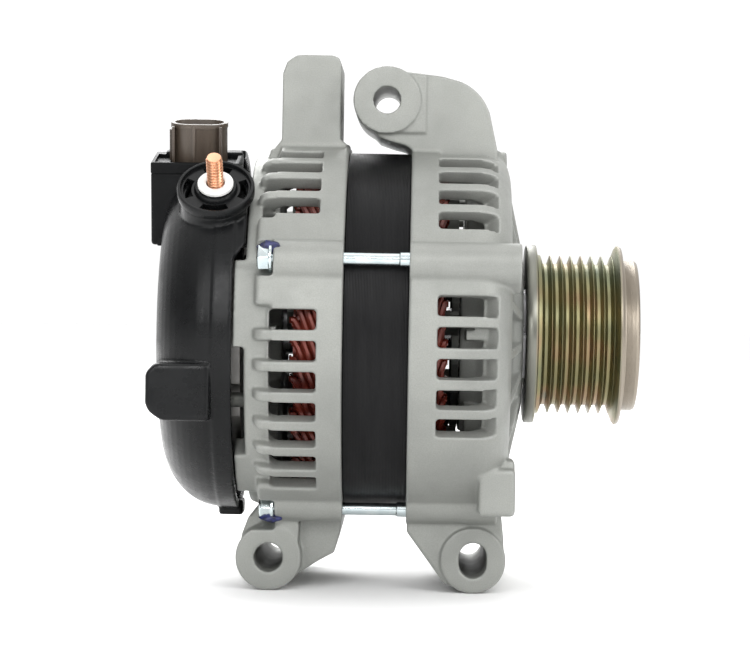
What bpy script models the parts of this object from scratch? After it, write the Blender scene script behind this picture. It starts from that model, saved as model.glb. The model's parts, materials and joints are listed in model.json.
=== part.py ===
"""Car alternator with an overrunning pulley, as separate named sub-parts.

Stations along the shaft are in millimetres from the datum, which lies SHAFT_END behind the
shaft's drive-end face. Everything hangs on one empty that puts the origin on that face.
+X runs along the shaft out of the pulley, +Z is up, and angles across the shaft are in
degrees: 0 points to -Y, 90 points up and 180 points to +Y.
"""

import math

import bmesh
import bpy
from mathutils import Matrix, Vector

# ---------------------------------------------------------------- driving dimensions (mm)
MM = 0.001
GAP = 0.3
WELD = 0.000002
SHAFT_END = 75.0
ROUND = 36

CORE_STATIONS = (-24.8, -2.6)
CORE_RADIUS = 62.0
REGISTER_RADIUS = 59.6
REGISTER_DEPTH = 4.0
CORE_BORE = 49.2
SLOT_COUNT = 36
SLOT_WIDTH = 3.4
SLOT_FLOOR = 56.6

CASE_RADIUS = 65.0
CASE_BORE = 60.0
FRONT_FACE = 30.3
FRONT_HUB_FACE = 36.0
REAR_FACE = -56.8
REAR_HUB_FACE = -60.0

BOLT_CIRCLE = 65.0
BOLT_ANGLES = (21.9, 111.9, 201.9, 291.9)
BOLT_SHANK = 2.1
BOLT_HOLE = 2.5
BOLT_SEAT = -47.5
BOLT_TIP = 22.0
BOSS_RADIUS = 6.8
BOSS_FRONT = 34.1

WINDOW_PITCH = 9.25
WINDOW_WIDTH = 6.8
FRONT_WINDOW = (6.5, 21.4)
REAR_WINDOW = (-48.5, -33.0)
FRONT_WINDOW_ROWS = ((35.6, 5), (125.6, 8), (215.6, 1), (331.4, 5))
REAR_WINDOW_ROWS = ((40.2, 4), (125.6, 8), (215.6, 1), (308.25, 7))

EAR_CENTRE = (-11.7, 79.4)
EAR_RADIUS = 11.6
EAR_BORE = 4.65
EAR_SPAN = (-22.0, 30.0)
FRONT_LUG_CENTRE = (20.2, -77.3)
REAR_LUG_CENTRE = (-49.5, -77.3)
LUG_RADIUS = 11.2
LUG_BORE = 4.9
LUG_SLOT = (4.7, 6.0)
LUG_SPAN = (-25.0, 60.0)
ARM_STATIONS = (-47.8, -27.4)
ARM_TOP = 95.0
ARM_SPAN = (-15.0, 18.0)

SHAFT_RADIUS = 8.5
SHAFT_BORE = SHAFT_RADIUS + GAP
SHAFT_TAIL = -83.0

FRONT_BEARING = (14.6, 28.6)
FRONT_BEARING_RADII = (SHAFT_BORE, 12.5, 19.7, 23.5)
FRONT_BALL = (16.1, 3.3, 8)
RETAINER_CIRCLE = 29.0
RETAINER_ANGLES = (30.0, 150.0, 270.0)
REAR_BEARING = (-58.7, -47.7)
REAR_BEARING_RADII = (7.5, 10.2, 15.6, 17.5)
REAR_BALL = (12.9, 2.4, 9)

ROTOR_RADIUS = 48.6
CLAW_COUNT = 8
FRONT_POLE = (-4.0, 6.0)
REAR_POLE = (-34.0, -24.0)
POLE_CORE_RADIUS = 19.7
COIL_RADII = (20.1, 36.0)

PULLEY_STATIONS = (37.2, 75.9)
PULLEY_BORE = 19.2
FLANGE_RADIUS = 31.1
RIB_RADIUS = 27.5
GROOVE_RADIUS = 24.6
GROOVE_PITCH = 3.56
GROOVE_COUNT = 7
FIRST_GROOVE = 44.0
NOSE_RADIUS = 26.15

RING_STATIONS = ((-79.0, -73.0), (-70.0, -64.0))
RING_RADII = (5.9, 7.2)
BRUSH_SIZE = (5.0, 7.0)
BRUSH_HEIGHTS = (7.6, 20.0)
HOLDER_HEIGHTS = (12.0, 30.6)
SPRING_TOP = 27.4

COVER_RIM = -60.8
COVER_STEP = -67.2
COVER_BACK = -87.4
COVER_RADIUS = 61.9
COVER_FLAT_RADIUS = 38.0
COVER_WALL = 2.3
COVER_SCREW_ANGLES = (130.0, 245.0, 335.0)
COVER_SCREW_CIRCLE = 54.0

PLATE_RADII = (27.0, 49.0)
PLATE_ANGLES = (106.0, 397.0)
DIODE_CIRCLE = 38.0
DIODE_RADIUS = 5.5
NEGATIVE_DIODES = (150.0, 240.0, 330.0)
POSITIVE_DIODES = (195.0, 285.0, 375.0)

MODULE_ANGLE = 77.0
MODULE_STATIONS = (-91.6, -61.4)
MODULE_RADII = (32.0, 61.8)
MODULE_SIDES = (-14.0, 8.0)
CONNECTOR_CENTRE = (-75.8, -3.0)
CONNECTOR_HALF = (9.8, 6.6)
CONNECTOR_TOP = 73.4
CONNECTOR_WALL = 1.3

TERMINAL_ANGLE = 45.0
TERMINAL_STATION = -67.7
COLLAR_RADIUS = 12.9
COLLAR_HEIGHTS = (64.0, 67.6)
WASHER_RADIUS = 5.9
STUD_RADIUS = 2.75
STUD_TOP = 80.2

FINISHES = {
    "cast": ((0.62, 0.63, 0.60), 0.55, 0.6),
    "laminate": ((0.03, 0.03, 0.03), 0.5, 0.4),
    "copper": ((0.45, 0.15, 0.08), 0.4, 1.0),
    "stud": ((0.85, 0.45, 0.28), 0.3, 1.0),
    "zinc": ((0.70, 0.73, 0.75), 0.3, 1.0),
    "steel": ((0.55, 0.55, 0.56), 0.3, 1.0),
    "iron": ((0.20, 0.20, 0.21), 0.5, 0.9),
    "yellow": ((0.72, 0.62, 0.32), 0.3, 1.0),
    "plate": ((0.75, 0.75, 0.76), 0.45, 1.0),
    "black": ((0.03, 0.03, 0.032), 0.35, 0.0),
    "brown": ((0.12, 0.09, 0.07), 0.45, 0.0),
    "white": ((0.85, 0.85, 0.83), 0.5, 0.0),
    "carbon": ((0.05, 0.05, 0.05), 0.6, 0.2),
}


# ---------------------------------------------------------------- shape helpers
def across(radius, offset, angle):
    """(y, z) of a point at a radius along an angle and an offset square to it."""
    turn = math.radians(angle)
    return (
        -radius * math.cos(turn) + offset * math.sin(turn),
        radius * math.sin(turn) + offset * math.cos(turn),
    )


def arc(centre, radius, start, stop, steps):
    """Points of an arc in a plane, angles in degrees from the first axis."""
    return [
        (
            centre[0] + radius * math.cos(math.radians(start + (stop - start) * k / steps)),
            centre[1] + radius * math.sin(math.radians(start + (stop - start) * k / steps)),
        )
        for k in range(steps + 1)
    ]


def make_object(name, bm, matrix=None):
    """Object in metres from a closed bmesh in millimetres."""
    if matrix is not None:
        bmesh.ops.transform(bm, matrix=matrix, verts=bm.verts)
    bmesh.ops.recalc_face_normals(bm, faces=bm.faces)
    bmesh.ops.scale(bm, vec=(MM, MM, MM), verts=bm.verts)
    mesh = bpy.data.meshes.new(name)
    bm.to_mesh(mesh)
    bm.free()
    obj = bpy.data.objects.new(name, mesh)
    bpy.context.scene.collection.objects.link(obj)
    return obj


def turned(name, profile, segments=ROUND, origin=(0, 0, 0), axis=(1, 0, 0)):
    """Closed (station, radius) profile turned about an axis through the origin given."""
    bm = bmesh.new()
    rings = []
    for station, radius in profile:
        if radius == 0:
            rings.append([bm.verts.new((station, 0, 0))] * segments)
            continue
        ring = []
        for k in range(segments):
            turn = 2 * math.pi * k / segments
            ring.append(bm.verts.new((station, radius * math.cos(turn), radius * math.sin(turn))))
        rings.append(ring)
    for ring, following in zip(rings, rings[1:] + rings[:1]):
        for k in range(segments):
            corners = list(dict.fromkeys((ring[k - 1], ring[k], following[k], following[k - 1])))
            if len(corners) > 2:
                bm.faces.new(corners)
    swing = Vector((1, 0, 0)).rotation_difference(Vector(axis)).to_matrix().to_4x4()
    return make_object(name, bm, Matrix.Translation(origin) @ swing)


def tube(name, low, high, inner, outer, segments=ROUND):
    """Plain ring about the shaft, or a disc where the inner radius is 0."""
    return turned(name, ((low, inner), (low, outer), (high, outer), (high, inner)), segments)


def extruded(name, outline, low, high, place):
    """Outline extruded from low to high; place(u, v, w) gives each corner's position."""
    bm = bmesh.new()
    lower = [bm.verts.new(place(u, v, low)) for u, v in outline]
    upper = [bm.verts.new(place(u, v, high)) for u, v in outline]
    bm.faces.new(lower)
    bm.faces.new(upper)
    for k in range(len(outline)):
        bm.faces.new((lower[k - 1], lower[k], upper[k], upper[k - 1]))
    return make_object(name, bm)


def along_x(name, outline, low, high):
    """(y, z) outline extruded along the shaft."""
    return extruded(name, outline, low, high, lambda u, v, w: (w, u, v))


def along_y(name, outline, low, high):
    """(x, z) outline extruded from front to back."""
    return extruded(name, outline, low, high, lambda u, v, w: (u, w, v))


def along_radius(name, outline, low, high, angle):
    """(station, offset) outline extruded outwards along an angle across the shaft."""
    return extruded(name, outline, low, high, lambda u, v, w: (u, *across(w, v, angle)))


def radial_block(name, stations, radii, offsets, angle):
    """Block with its sides along and square to an angle across the shaft."""
    (a, b), (c, d) = stations, offsets
    return along_radius(name, ((a, c), (b, c), (b, d), (a, d)), *radii, angle)


def block(name, low, high):
    """Block square to the axes between two corners."""
    outline = ((low[1], low[2]), (high[1], low[2]), (high[1], high[2]), (low[1], high[2]))
    return along_x(name, outline, low[0], high[0])


def gathered(name, pieces):
    """One object holding the meshes of several."""
    bm = bmesh.new()
    for piece in pieces:
        bm.from_mesh(piece.data)
        bpy.data.objects.remove(piece)
    mesh = bpy.data.meshes.new(name)
    bm.to_mesh(mesh)
    bm.free()
    obj = bpy.data.objects.new(name, mesh)
    bpy.context.scene.collection.objects.link(obj)
    return obj


def weld(mesh):
    """Close the hairline slivers that a Boolean leaves."""
    bm = bmesh.new()
    bm.from_mesh(mesh)
    bmesh.ops.remove_doubles(bm, verts=bm.verts, dist=WELD)
    bmesh.ops.dissolve_degenerate(bm, edges=bm.edges, dist=WELD)
    bm.to_mesh(mesh)
    bm.free()


def combined(target, operation, tools):
    """Boolean of the target with each tool in turn; the tools are used up."""
    for tool in tools:
        modifier = target.modifiers.new(operation, "BOOLEAN")
        modifier.operation = operation
        modifier.object = tool
        depsgraph = bpy.context.evaluated_depsgraph_get()
        target.data = bpy.data.meshes.new_from_object(target.evaluated_get(depsgraph))
        target.modifiers.clear()
        bpy.data.objects.remove(tool)
        weld(target.data)
    return target


def joined(target, *tools):
    return combined(target, "UNION", tools)


def cut(target, *tools):
    return combined(target, "DIFFERENCE", tools)


def sector(radii, angles, steps):
    """(y, z) outline of a ring segment about the shaft."""
    spread = [angles[0] + (angles[1] - angles[0]) * k / steps for k in range(steps + 1)]
    outer = [across(radii[1], 0, angle) for angle in spread]
    inner = [across(radii[0], 0, angle) for angle in reversed(spread)]
    return outer + inner


# ---------------------------------------------------------------- casings
def bolt_axis(angle):
    return (0, *across(BOLT_CIRCLE, 0, angle))


def bolt_bosses(low, high):
    profile = ((low, 0), (low, BOSS_RADIUS), (high, BOSS_RADIUS), (high, 0))
    return gathered("bosses", [turned("boss", profile, 8, bolt_axis(a)) for a in BOLT_ANGLES])


def bolt_holes(low, high, radius):
    profile = ((low, 0), (low, radius), (high, radius), (high, 0))
    return gathered("holes", [turned("hole", profile, 8, bolt_axis(a)) for a in BOLT_ANGLES])


def case_windows(stations, rows):
    """Cooling windows through a case wall, in rows of equal pitch."""
    half = WINDOW_WIDTH / 2
    angles = [start + WINDOW_PITCH * k for start, count in rows for k in range(count)]
    return gathered("windows", [
        radial_block("window", stations, (53.0, 66.5), (-half, half), angle) for angle in angles
    ])


def end_windows(stations, radii, count, width):
    """Ring of openings through an end wall, for the air that a fan draws in."""
    return gathered("openings", [
        along_x("opening", sector(radii, (centre - width / 2, centre + width / 2), 3), *stations)
        for centre in [360 / count * (k + 0.5) for k in range(count)]
    ])


def cross_boss(centre, radius, span, segments=20):
    """Round boss lying across the shaft, from front to back."""
    profile = ((span[0], 0), (span[0], radius), (span[1], radius), (span[1], 0))
    return turned("boss", profile, segments, (centre[0], 0, centre[1]), (0, 1, 0))


def ear_web():
    """Curved arm that carries the upper mounting boss over the stator."""
    outline = [(-11.7, 90.0), (7.5, 87.8), (13.0, 86.3)]
    outline += arc((7.0, 70.0), 17.4, 65, 18, 4)
    outline += [(26.4, 62.5), (26.4, 52.0), (-2.2, 52.0), (-2.2, 63.0), (-6.0, 64.3), (-14.3, 66.2)]
    outline += arc(EAR_CENTRE, EAR_RADIUS - 0.6, 225, 120, 4)
    return along_y("web", outline, EAR_SPAN[0] + 2, EAR_SPAN[1] - 2)


def front_lug_web():
    x, z = FRONT_LUG_CENTRE
    outline = [(-2.2, -52.0), (-2.2, -64.0), (2.4, -76.0), (11.0, z - 7.0)]
    outline += arc(FRONT_LUG_CENTRE, LUG_RADIUS - 0.6, 230, 350, 5)
    outline += [(x + 10.4, -70.0), (29.5, -60.0), (27.0, -52.0)]
    return along_y("web", outline, LUG_SPAN[0] + 6, LUG_SPAN[1] - 15)


def make_drive_end_bracket():
    """Cast front casing with the front bearing's seat, the ear and the slotted lug."""
    case = turned("drive_end_bracket", (
        (CORE_STATIONS[1], 0), (CORE_STATIONS[1], CASE_RADIUS), (21.0, CASE_RADIUS), (26.5, 61.5),
        (FRONT_FACE, 55.0), (FRONT_FACE, 33.0), (FRONT_HUB_FACE, 28.5), (FRONT_HUB_FACE, 0),
    ))
    ear = cross_boss(EAR_CENTRE, EAR_RADIUS, EAR_SPAN)
    lug = cross_boss(FRONT_LUG_CENTRE, LUG_RADIUS, LUG_SPAN)
    stop = block("stop", (21.5, -42.0, -64.0), (33.6, -24.0, -46.5))
    joined(case, bolt_bosses(CORE_STATIONS[1], BOSS_FRONT), ear_web(), ear, front_lug_web(), lug, stop)
    bore = FRONT_BEARING_RADII[3] + GAP
    seat = FRONT_BEARING[0] - GAP
    hollow = turned("hollow", (
        (-4.0, 0), (-4.0, CASE_BORE), (17.0, CASE_BORE), (21.5, 58.0), (26.0, 52.0), (26.0, 37.0),
        (20.0, 35.0), (seat, 34.0), (seat, bore), (FRONT_BEARING[1] + GAP, bore),
        (FRONT_BEARING[1] + GAP, 19.0), (40.0, 19.0), (40.0, 0),
    ))
    slot_half, slot_height = LUG_SLOT
    x, z = FRONT_LUG_CENTRE
    rise = slot_height - slot_half
    slot = arc((x, z + rise), slot_half, 0, 180, 6) + arc((x, z - rise), slot_half, 180, 360, 6)
    screws = gathered("screw_holes", [
        turned("hole", ((10.0, 0), (10.0, 2.5), (21.0, 2.5), (21.0, 0)), 8,
               (0, *across(RETAINER_CIRCLE, 0, angle)))
        for angle in RETAINER_ANGLES
    ])
    return cut(
        case, hollow, case_windows(FRONT_WINDOW, FRONT_WINDOW_ROWS),
        end_windows((22.0, 34.0), (39.0, 51.0), 8, 28.0),
        bolt_holes(-5.0, 26.0, BOLT_HOLE + GAP), screws,
        cross_boss(EAR_CENTRE, EAR_BORE, (-30.0, 40.0), 14), along_y("slot", slot, -30.0, 70.0),
    )


def rear_lug_web():
    outline = [(-50.0, -52.0), (-53.5, -60.8), (-57.0, -64.0), (-59.0, -70.0)]
    outline += arc(REAR_LUG_CENTRE, LUG_RADIUS - 0.6, 175, 300, 5)
    outline += [(-26.5, -75.0), (-25.2, -64.4), (-25.2, -52.0)]
    return along_y("web", outline, LUG_SPAN[0] + 6, LUG_SPAN[1] - 15)


def rear_arm():
    low, high = ARM_STATIONS
    outline = [(low, 52.0), (low, ARM_TOP - 7.0), (low + 2.5, ARM_TOP - 1.5), (low + 6.0, ARM_TOP)]
    outline += [(high - 3.5, ARM_TOP), (high - 0.9, ARM_TOP - 1.1), (high, ARM_TOP - 3.5), (high, 52.0)]
    return along_y("arm", outline, *ARM_SPAN)


def make_rear_bracket():
    """Cast rear casing with the rear bearing's seat, the upper arm and the round lug."""
    rim = CORE_STATIONS[0]
    case = turned("rear_bracket", (
        (rim, 0), (rim, CASE_RADIUS), (-48.5, CASE_RADIUS), (-51.0, 60.5), (REAR_FACE, 60.0),
        (REAR_FACE, 26.0), (REAR_HUB_FACE, 25.0), (REAR_HUB_FACE, 0),
    ))
    lug = cross_boss(REAR_LUG_CENTRE, LUG_RADIUS, LUG_SPAN)
    joined(case, bolt_bosses(-52.0, rim), rear_arm(), rear_lug_web(), lug)
    hollow = turned("hollow", (
        (-23.0, 0), (-23.0, CASE_BORE), (-45.5, CASE_BORE), (-52.5, 55.0), (-52.5, 27.0),
        (-46.0, 25.0), (-46.0, 19.5), (-59.0, 19.5), (-59.0, 12.0), (-62.0, 12.0), (-62.0, 0),
    ))
    pocket = ((-64.0, 0), (-64.0, 6.2), (BOLT_SEAT, 6.2), (BOLT_SEAT, 0))
    pockets = gathered("pockets", [
        turned("pocket", pocket, 10, (0, *across(BOLT_CIRCLE + 1.0, 0, a))) for a in BOLT_ANGLES
    ])
    screws = gathered("screw_holes", [
        turned("hole", ((-60.0, 0), (-60.0, 3.0), (-50.0, 3.0), (-50.0, 0)), 8,
               (0, *across(COVER_SCREW_CIRCLE, 0, a)))
        for a in COVER_SCREW_ANGLES
    ])
    return cut(
        case, hollow, case_windows(REAR_WINDOW, REAR_WINDOW_ROWS),
        end_windows((-58.0, -51.0), (29.0, 48.0), 8, 30.0),
        bolt_holes(-55.0, -20.0, BOLT_HOLE + GAP), pockets, screws,
        cross_boss(REAR_LUG_CENTRE, LUG_BORE, (-30.0, 70.0), 14),
    )


# ---------------------------------------------------------------- stator and bolts
def make_stator_core():
    """Laminated stack with open slots, stepped at both ends to sit in the casings."""
    low, high = CORE_STATIONS
    core = turned("stator_core", (
        (low - REGISTER_DEPTH, CORE_BORE), (low - REGISTER_DEPTH, REGISTER_RADIUS),
        (low + GAP, REGISTER_RADIUS), (low + GAP, CORE_RADIUS), (high - GAP, CORE_RADIUS),
        (high - GAP, REGISTER_RADIUS), (high + REGISTER_DEPTH, REGISTER_RADIUS),
        (high + REGISTER_DEPTH, CORE_BORE),
    ), SLOT_COUNT)
    half = SLOT_WIDTH / 2
    slots = gathered("slots", [
        radial_block("slot", (low - 10.0, high + 10.0), (47.0, SLOT_FLOOR), (-half, half),
                     360 / SLOT_COUNT * (k + 0.5))
        for k in range(SLOT_COUNT)
    ])
    return cut(core, slots)


def make_stator_winding():
    """Copper in the slots, with an end ring of hairpin ends on each side."""
    low, high = CORE_STATIONS
    half = SLOT_WIDTH / 2 - GAP
    rear = tube("stator_winding", -46.5, low - REGISTER_DEPTH - GAP, 50.0, 57.6, SLOT_COUNT)
    front = tube("front_ends", high + REGISTER_DEPTH + GAP, 18.0, 50.0, 57.6, SLOT_COUNT)
    bars = gathered("bars", [
        radial_block("bar", (-30.0, 3.0), (50.4, SLOT_FLOOR - GAP), (-half, half),
                     360 / SLOT_COUNT * (k + 0.5))
        for k in range(SLOT_COUNT)
    ])
    return joined(rear, front, bars)


def make_through_bolts():
    """Long hexagon-head bolts that clamp the casings on the stator."""
    low, high = BOLT_SEAT - GAP, BOLT_TIP
    bolts = []
    for k, angle in enumerate(BOLT_ANGLES):
        bolt = turned("through_bolt_%d" % (k + 1), (
            (low - 1.2, 0), (low - 1.2, 5.0), (low, 5.0), (low, BOLT_SHANK), (-6.5, BOLT_SHANK),
            (-6.0, BOLT_HOLE), (high, BOLT_HOLE), (high, 0),
        ), 10, bolt_axis(angle))
        head = turned("head", (
            (low - 5.0, 0), (low - 5.0, 3.9), (low - 4.6, 4.5), (low - 0.8, 4.5), (low - 0.8, 0),
        ), 6, bolt_axis(angle))
        bolts.append(joined(bolt, head))
    return bolts


# ---------------------------------------------------------------- bearings
def make_bearing(name, stations, radii, ball):
    """Deep-groove bearing: two races, and the balls held in their cage."""
    inner = tube(name + "_inner_race", *stations, radii[0], radii[1], 24)
    outer = tube(name + "_outer_race", *stations, radii[2], radii[3], 24)
    circle, size, count = ball
    middle = sum(stations) / 2
    cage = tube(name + "_balls_and_cage", middle - 1.6, middle + 1.6, circle - 0.8, circle + 0.8, 16)
    balls = []
    for k in range(count):
        bm = bmesh.new()
        bmesh.ops.create_uvsphere(bm, u_segments=6, v_segments=4, radius=size)
        place = Matrix.Translation((middle, *across(circle, 0, 360 / count * k)))
        balls.append(make_object("ball", bm, place))
    joined(cage, gathered("balls", balls))
    return [inner, outer, cage]


def make_bearing_retainer():
    """Plate and screws that hold the front bearing in its seat."""
    plate = tube("bearing_retainer_plate", 11.6, 14.0, 20.5, 33.5, 20)
    screws = []
    for k, angle in enumerate(RETAINER_ANGLES):
        axis = (0, *across(RETAINER_CIRCLE, 0, angle))
        cut(plate, turned("hole", ((9.0, 0), (9.0, 2.4), (16.0, 2.4), (16.0, 0)), 8, axis))
        screws.append(turned("retainer_screw_%d" % (k + 1), (
            (9.3, 0), (9.3, 3.2), (9.9, 3.8), (11.3, 3.8), (11.3, 2.0), (20.5, 2.0), (20.5, 0),
        ), 8, axis))
    return [plate] + screws


def make_rear_bearing_sleeve():
    """Resin ring between the rear bearing and its seat."""
    return tube("rear_bearing_sleeve", *REAR_BEARING, REAR_BEARING_RADII[3] + GAP, 19.2, 24)


# ---------------------------------------------------------------- rotor
def make_rotor_shaft():
    r = SHAFT_RADIUS
    return turned("rotor_shaft", (
        (SHAFT_TAIL, 0), (SHAFT_TAIL, 4.0), (SHAFT_TAIL + 0.5, 4.5), (-61.0, 4.5), (-61.0, 7.2),
        (-46.5, 7.2), (-46.5, r), (-20.0, r), (33.0, r), (SHAFT_END - 1, r), (SHAFT_END, r - 1),
        (SHAFT_END, 0),
    ), 20)


def wedge(name, sections, phase):
    """Lofted block of a claw: each section is (station, inner radius, outer radius, half angle)."""
    bm = bmesh.new()
    rings = []
    for x, inner, outer, half in sections:
        ring = [bm.verts.new((x, *across(outer, 0, phase + step * half))) for step in (-1, 0, 1)]
        ring += [bm.verts.new((x, *across(inner, 0, phase + step * half))) for step in (1, 0, -1)]
        rings.append(ring)
    for ring, following in zip(rings, rings[1:]):
        for k in range(len(ring)):
            bm.faces.new((ring[k - 1], ring[k], following[k], following[k - 1]))
    bm.faces.new(rings[0])
    bm.faces.new(rings[-1])
    bmesh.ops.triangulate(bm, faces=bm.faces)
    return make_object(name, bm)


def claw_parts(root, inner_face, tip, phase):
    """Root lobe and tapered finger of one claw."""
    bevel = root + (inner_face - root) * 0.25
    start = inner_face + (root - inner_face) * 0.2
    lobe = wedge("lobe", (
        (root, 28.0, ROTOR_RADIUS - 2.0, 12.0), (bevel, 28.0, ROTOR_RADIUS, 12.0),
        (inner_face, 28.0, ROTOR_RADIUS, 12.0),
    ), phase)
    finger = wedge("finger", (
        (start, 39.0, ROTOR_RADIUS - 0.02, 11.8), (tip, ROTOR_RADIUS - 4.0, ROTOR_RADIUS - 0.02, 5.5),
    ), phase)
    return lobe, finger


def make_claw_pole(name, stations, phase, forward):
    """Iron half of the rotor: half the core, a disc and its ring of fingers."""
    low, high = stations
    root, inner_face = (low, high) if forward else (high, low)
    tip = FRONT_POLE[1] - 2.0 if forward else REAR_POLE[0] + 2.0
    middle = (REAR_POLE[1] + FRONT_POLE[0]) / 2
    split = middle - GAP / 2 if forward else middle + GAP / 2
    pole = turned(name, (
        (root, SHAFT_BORE), (root, 31.0), (inner_face, 31.0), (inner_face, POLE_CORE_RADIUS),
        (split, POLE_CORE_RADIUS), (split, SHAFT_BORE),
    ), 20)
    angles = [phase + 360 / CLAW_COUNT * k for k in range(CLAW_COUNT)]
    lobes, fingers = zip(*[claw_parts(root, inner_face, tip, angle) for angle in angles])
    return joined(pole, gathered("lobes", lobes), gathered("fingers", fingers))


def make_field_coil():
    return tube("field_coil", REAR_POLE[1] + GAP, FRONT_POLE[0] - GAP, *COIL_RADII, 24)


def make_fan(name, plate, tip, count, lean):
    """Pressed fan: a plate against the pole and blades swept back from it."""
    low, high = sorted(plate)
    fan = tube(name, low, high, SHAFT_BORE + 3.0, 38.0, 20)
    face = low if tip > high else high
    blades = []
    for k in range(count):
        angle = 360 / count * k + (k % 2) * 4.0
        outline = [across(34.0, -0.7, angle), across(46.0, lean - 0.7, angle)]
        outline += [across(46.0, lean + 0.7, angle), across(34.0, 0.7, angle)]
        blades.append(along_x("blade", outline, min(face, tip), max(face, tip)))
    return joined(fan, gathered("blades", blades))


def make_slip_rings():
    """Two contact rings on an insulating sleeve at the tail of the shaft."""
    sleeve = tube("slip_ring_sleeve", -82.0, -61.5, 4.5 + GAP, 5.6, 16)
    rings = [
        tube("slip_ring_%d" % (k + 1), *stations, *RING_RADII, 20)
        for k, stations in enumerate(RING_STATIONS)
    ]
    return [sleeve] + rings


# ---------------------------------------------------------------- pulley
def make_pulley_ring():
    """Grooved outer ring of the overrunning pulley."""
    low, high = PULLEY_STATIONS
    half = GROOVE_PITCH / 2
    profile = [(low, PULLEY_BORE), (low, FLANGE_RADIUS - 0.7), (low + 0.7, FLANGE_RADIUS)]
    profile += [(40.8, FLANGE_RADIUS), (FIRST_GROOVE - half, RIB_RADIUS)]
    for k in range(GROOVE_COUNT):
        centre = FIRST_GROOVE + GROOVE_PITCH * k
        profile += [(centre, GROOVE_RADIUS), (centre + half, RIB_RADIUS)]
    profile += [(68.8, FLANGE_RADIUS), (70.6, FLANGE_RADIUS), (71.2, NOSE_RADIUS)]
    profile += [(high - 1.0, NOSE_RADIUS), (high, NOSE_RADIUS - 1.0), (high, PULLEY_BORE)]
    return turned("pulley_ring", profile, 32)


def make_pulley_core():
    """Splined hub on the shaft, the clutch's rollers in their cage, and the spacer behind."""
    spacer = tube("shaft_spacer", FRONT_BEARING[1] + GAP, 33.0, SHAFT_BORE, 13.5, 20)
    hub = turned("pulley_hub", (
        (33.3, SHAFT_BORE), (33.3, 15.5), (SHAFT_END - 0.5, 15.5), (SHAFT_END - 0.5, SHAFT_BORE),
    ), 20)
    clutch = tube("clutch_cage", 44.0, 68.0, 16.5, 18.3, 20)
    roller = ((46.0, 0), (46.0, 1.4), (66.0, 1.4), (66.0, 0))
    rollers = [turned("roller", roller, 6, (0, *across(17.3, 0, 45.0 * k))) for k in range(8)]
    joined(clutch, gathered("rollers", rollers))
    seals = [
        tube("pulley_seal_%s" % place, *stations, 15.8, 18.9, 20)
        for place, stations in (("rear", (38.0, 41.0)), ("front", (70.5, 73.5)))
    ]
    return [spacer, hub, clutch] + seals


# ---------------------------------------------------------------- rectifier and regulator
def rectifier_plate(name, stations, holes):
    plate = along_x(name, sector(PLATE_RADII, PLATE_ANGLES, 20), *stations)
    profile = ((-80.0, 0), (-80.0, DIODE_RADIUS + 0.7), (-50.0, DIODE_RADIUS + 0.7), (-50.0, 0))
    for angle in holes:
        cut(plate, turned("hole", profile, 10, (0, *across(DIODE_CIRCLE, 0, angle))))
    return plate


def make_diodes(side, angles, stations):
    low, high = stations
    profile = ((low, 0), (low, 4.0), (low + 1.0, DIODE_RADIUS), (high, DIODE_RADIUS), (high, 0))
    return [
        turned("diode_%s_%d" % (side, k + 1), profile, 12, (0, *across(DIODE_CIRCLE, 0, angle)))
        for k, angle in enumerate(angles)
    ]


def make_brush_gear():
    """Holder with two brushes, each pressed on its slip ring by a coil spring."""
    low, high = HOLDER_HEIGHTS
    holder = block("brush_holder", (-81.5, -6.5, low), (-61.6, 6.5, high))
    width, depth = BRUSH_SIZE[0] / 2, BRUSH_SIZE[1] / 2
    pieces = []
    for k, stations in enumerate(RING_STATIONS):
        centre = sum(stations) / 2
        side = (width + 0.4, depth + 0.4)
        cavity = block("cavity", (centre - side[0], -side[1], low - 5),
                       (centre + side[0], side[1], SPRING_TOP + GAP))
        cut(holder, cavity)
        pieces.append(block("brush_%d" % (k + 1), (centre - width, -depth, BRUSH_HEIGHTS[0]),
                            (centre + width, depth, BRUSH_HEIGHTS[1])))
        pieces.append(coil_spring("brush_spring_%d" % (k + 1), centre))
    return [holder] + pieces


def coil_spring(name, station):
    """Round-wire spring standing on the brush."""
    wire, radius, turns, steps, sides = 0.32, 1.9, 4, 7, 4
    low, high = BRUSH_HEIGHTS[1] + GAP + wire, SPRING_TOP - wire
    bm = bmesh.new()
    rings = []
    for k in range(turns * steps + 1):
        turn = 2 * math.pi * k / steps
        height = low + (high - low) * k / (turns * steps)
        ring = []
        for side in range(sides):
            swing = 2 * math.pi * side / sides
            reach = radius + wire * math.cos(swing)
            ring.append(bm.verts.new((
                station + reach * math.cos(turn), reach * math.sin(turn),
                height + wire * math.sin(swing),
            )))
        rings.append(ring)
    for ring, following in zip(rings, rings[1:]):
        for side in range(sides):
            bm.faces.new((ring[side - 1], ring[side], following[side], following[side - 1]))
    bm.faces.new(rings[0])
    bm.faces.new(rings[-1])
    return make_object(name, bm)


def connector_outline(inset):
    """Oval of the connector with flattened long sides."""
    x, t = CONNECTOR_CENTRE
    half_x, half_t = CONNECTOR_HALF[0] - inset, CONNECTOR_HALF[1] - inset
    reach = half_x - half_t
    outline = arc((x + reach, t), half_t, -90, 90, 5)
    return outline + arc((x - reach, t), half_t, 90, 270, 5)


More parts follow.
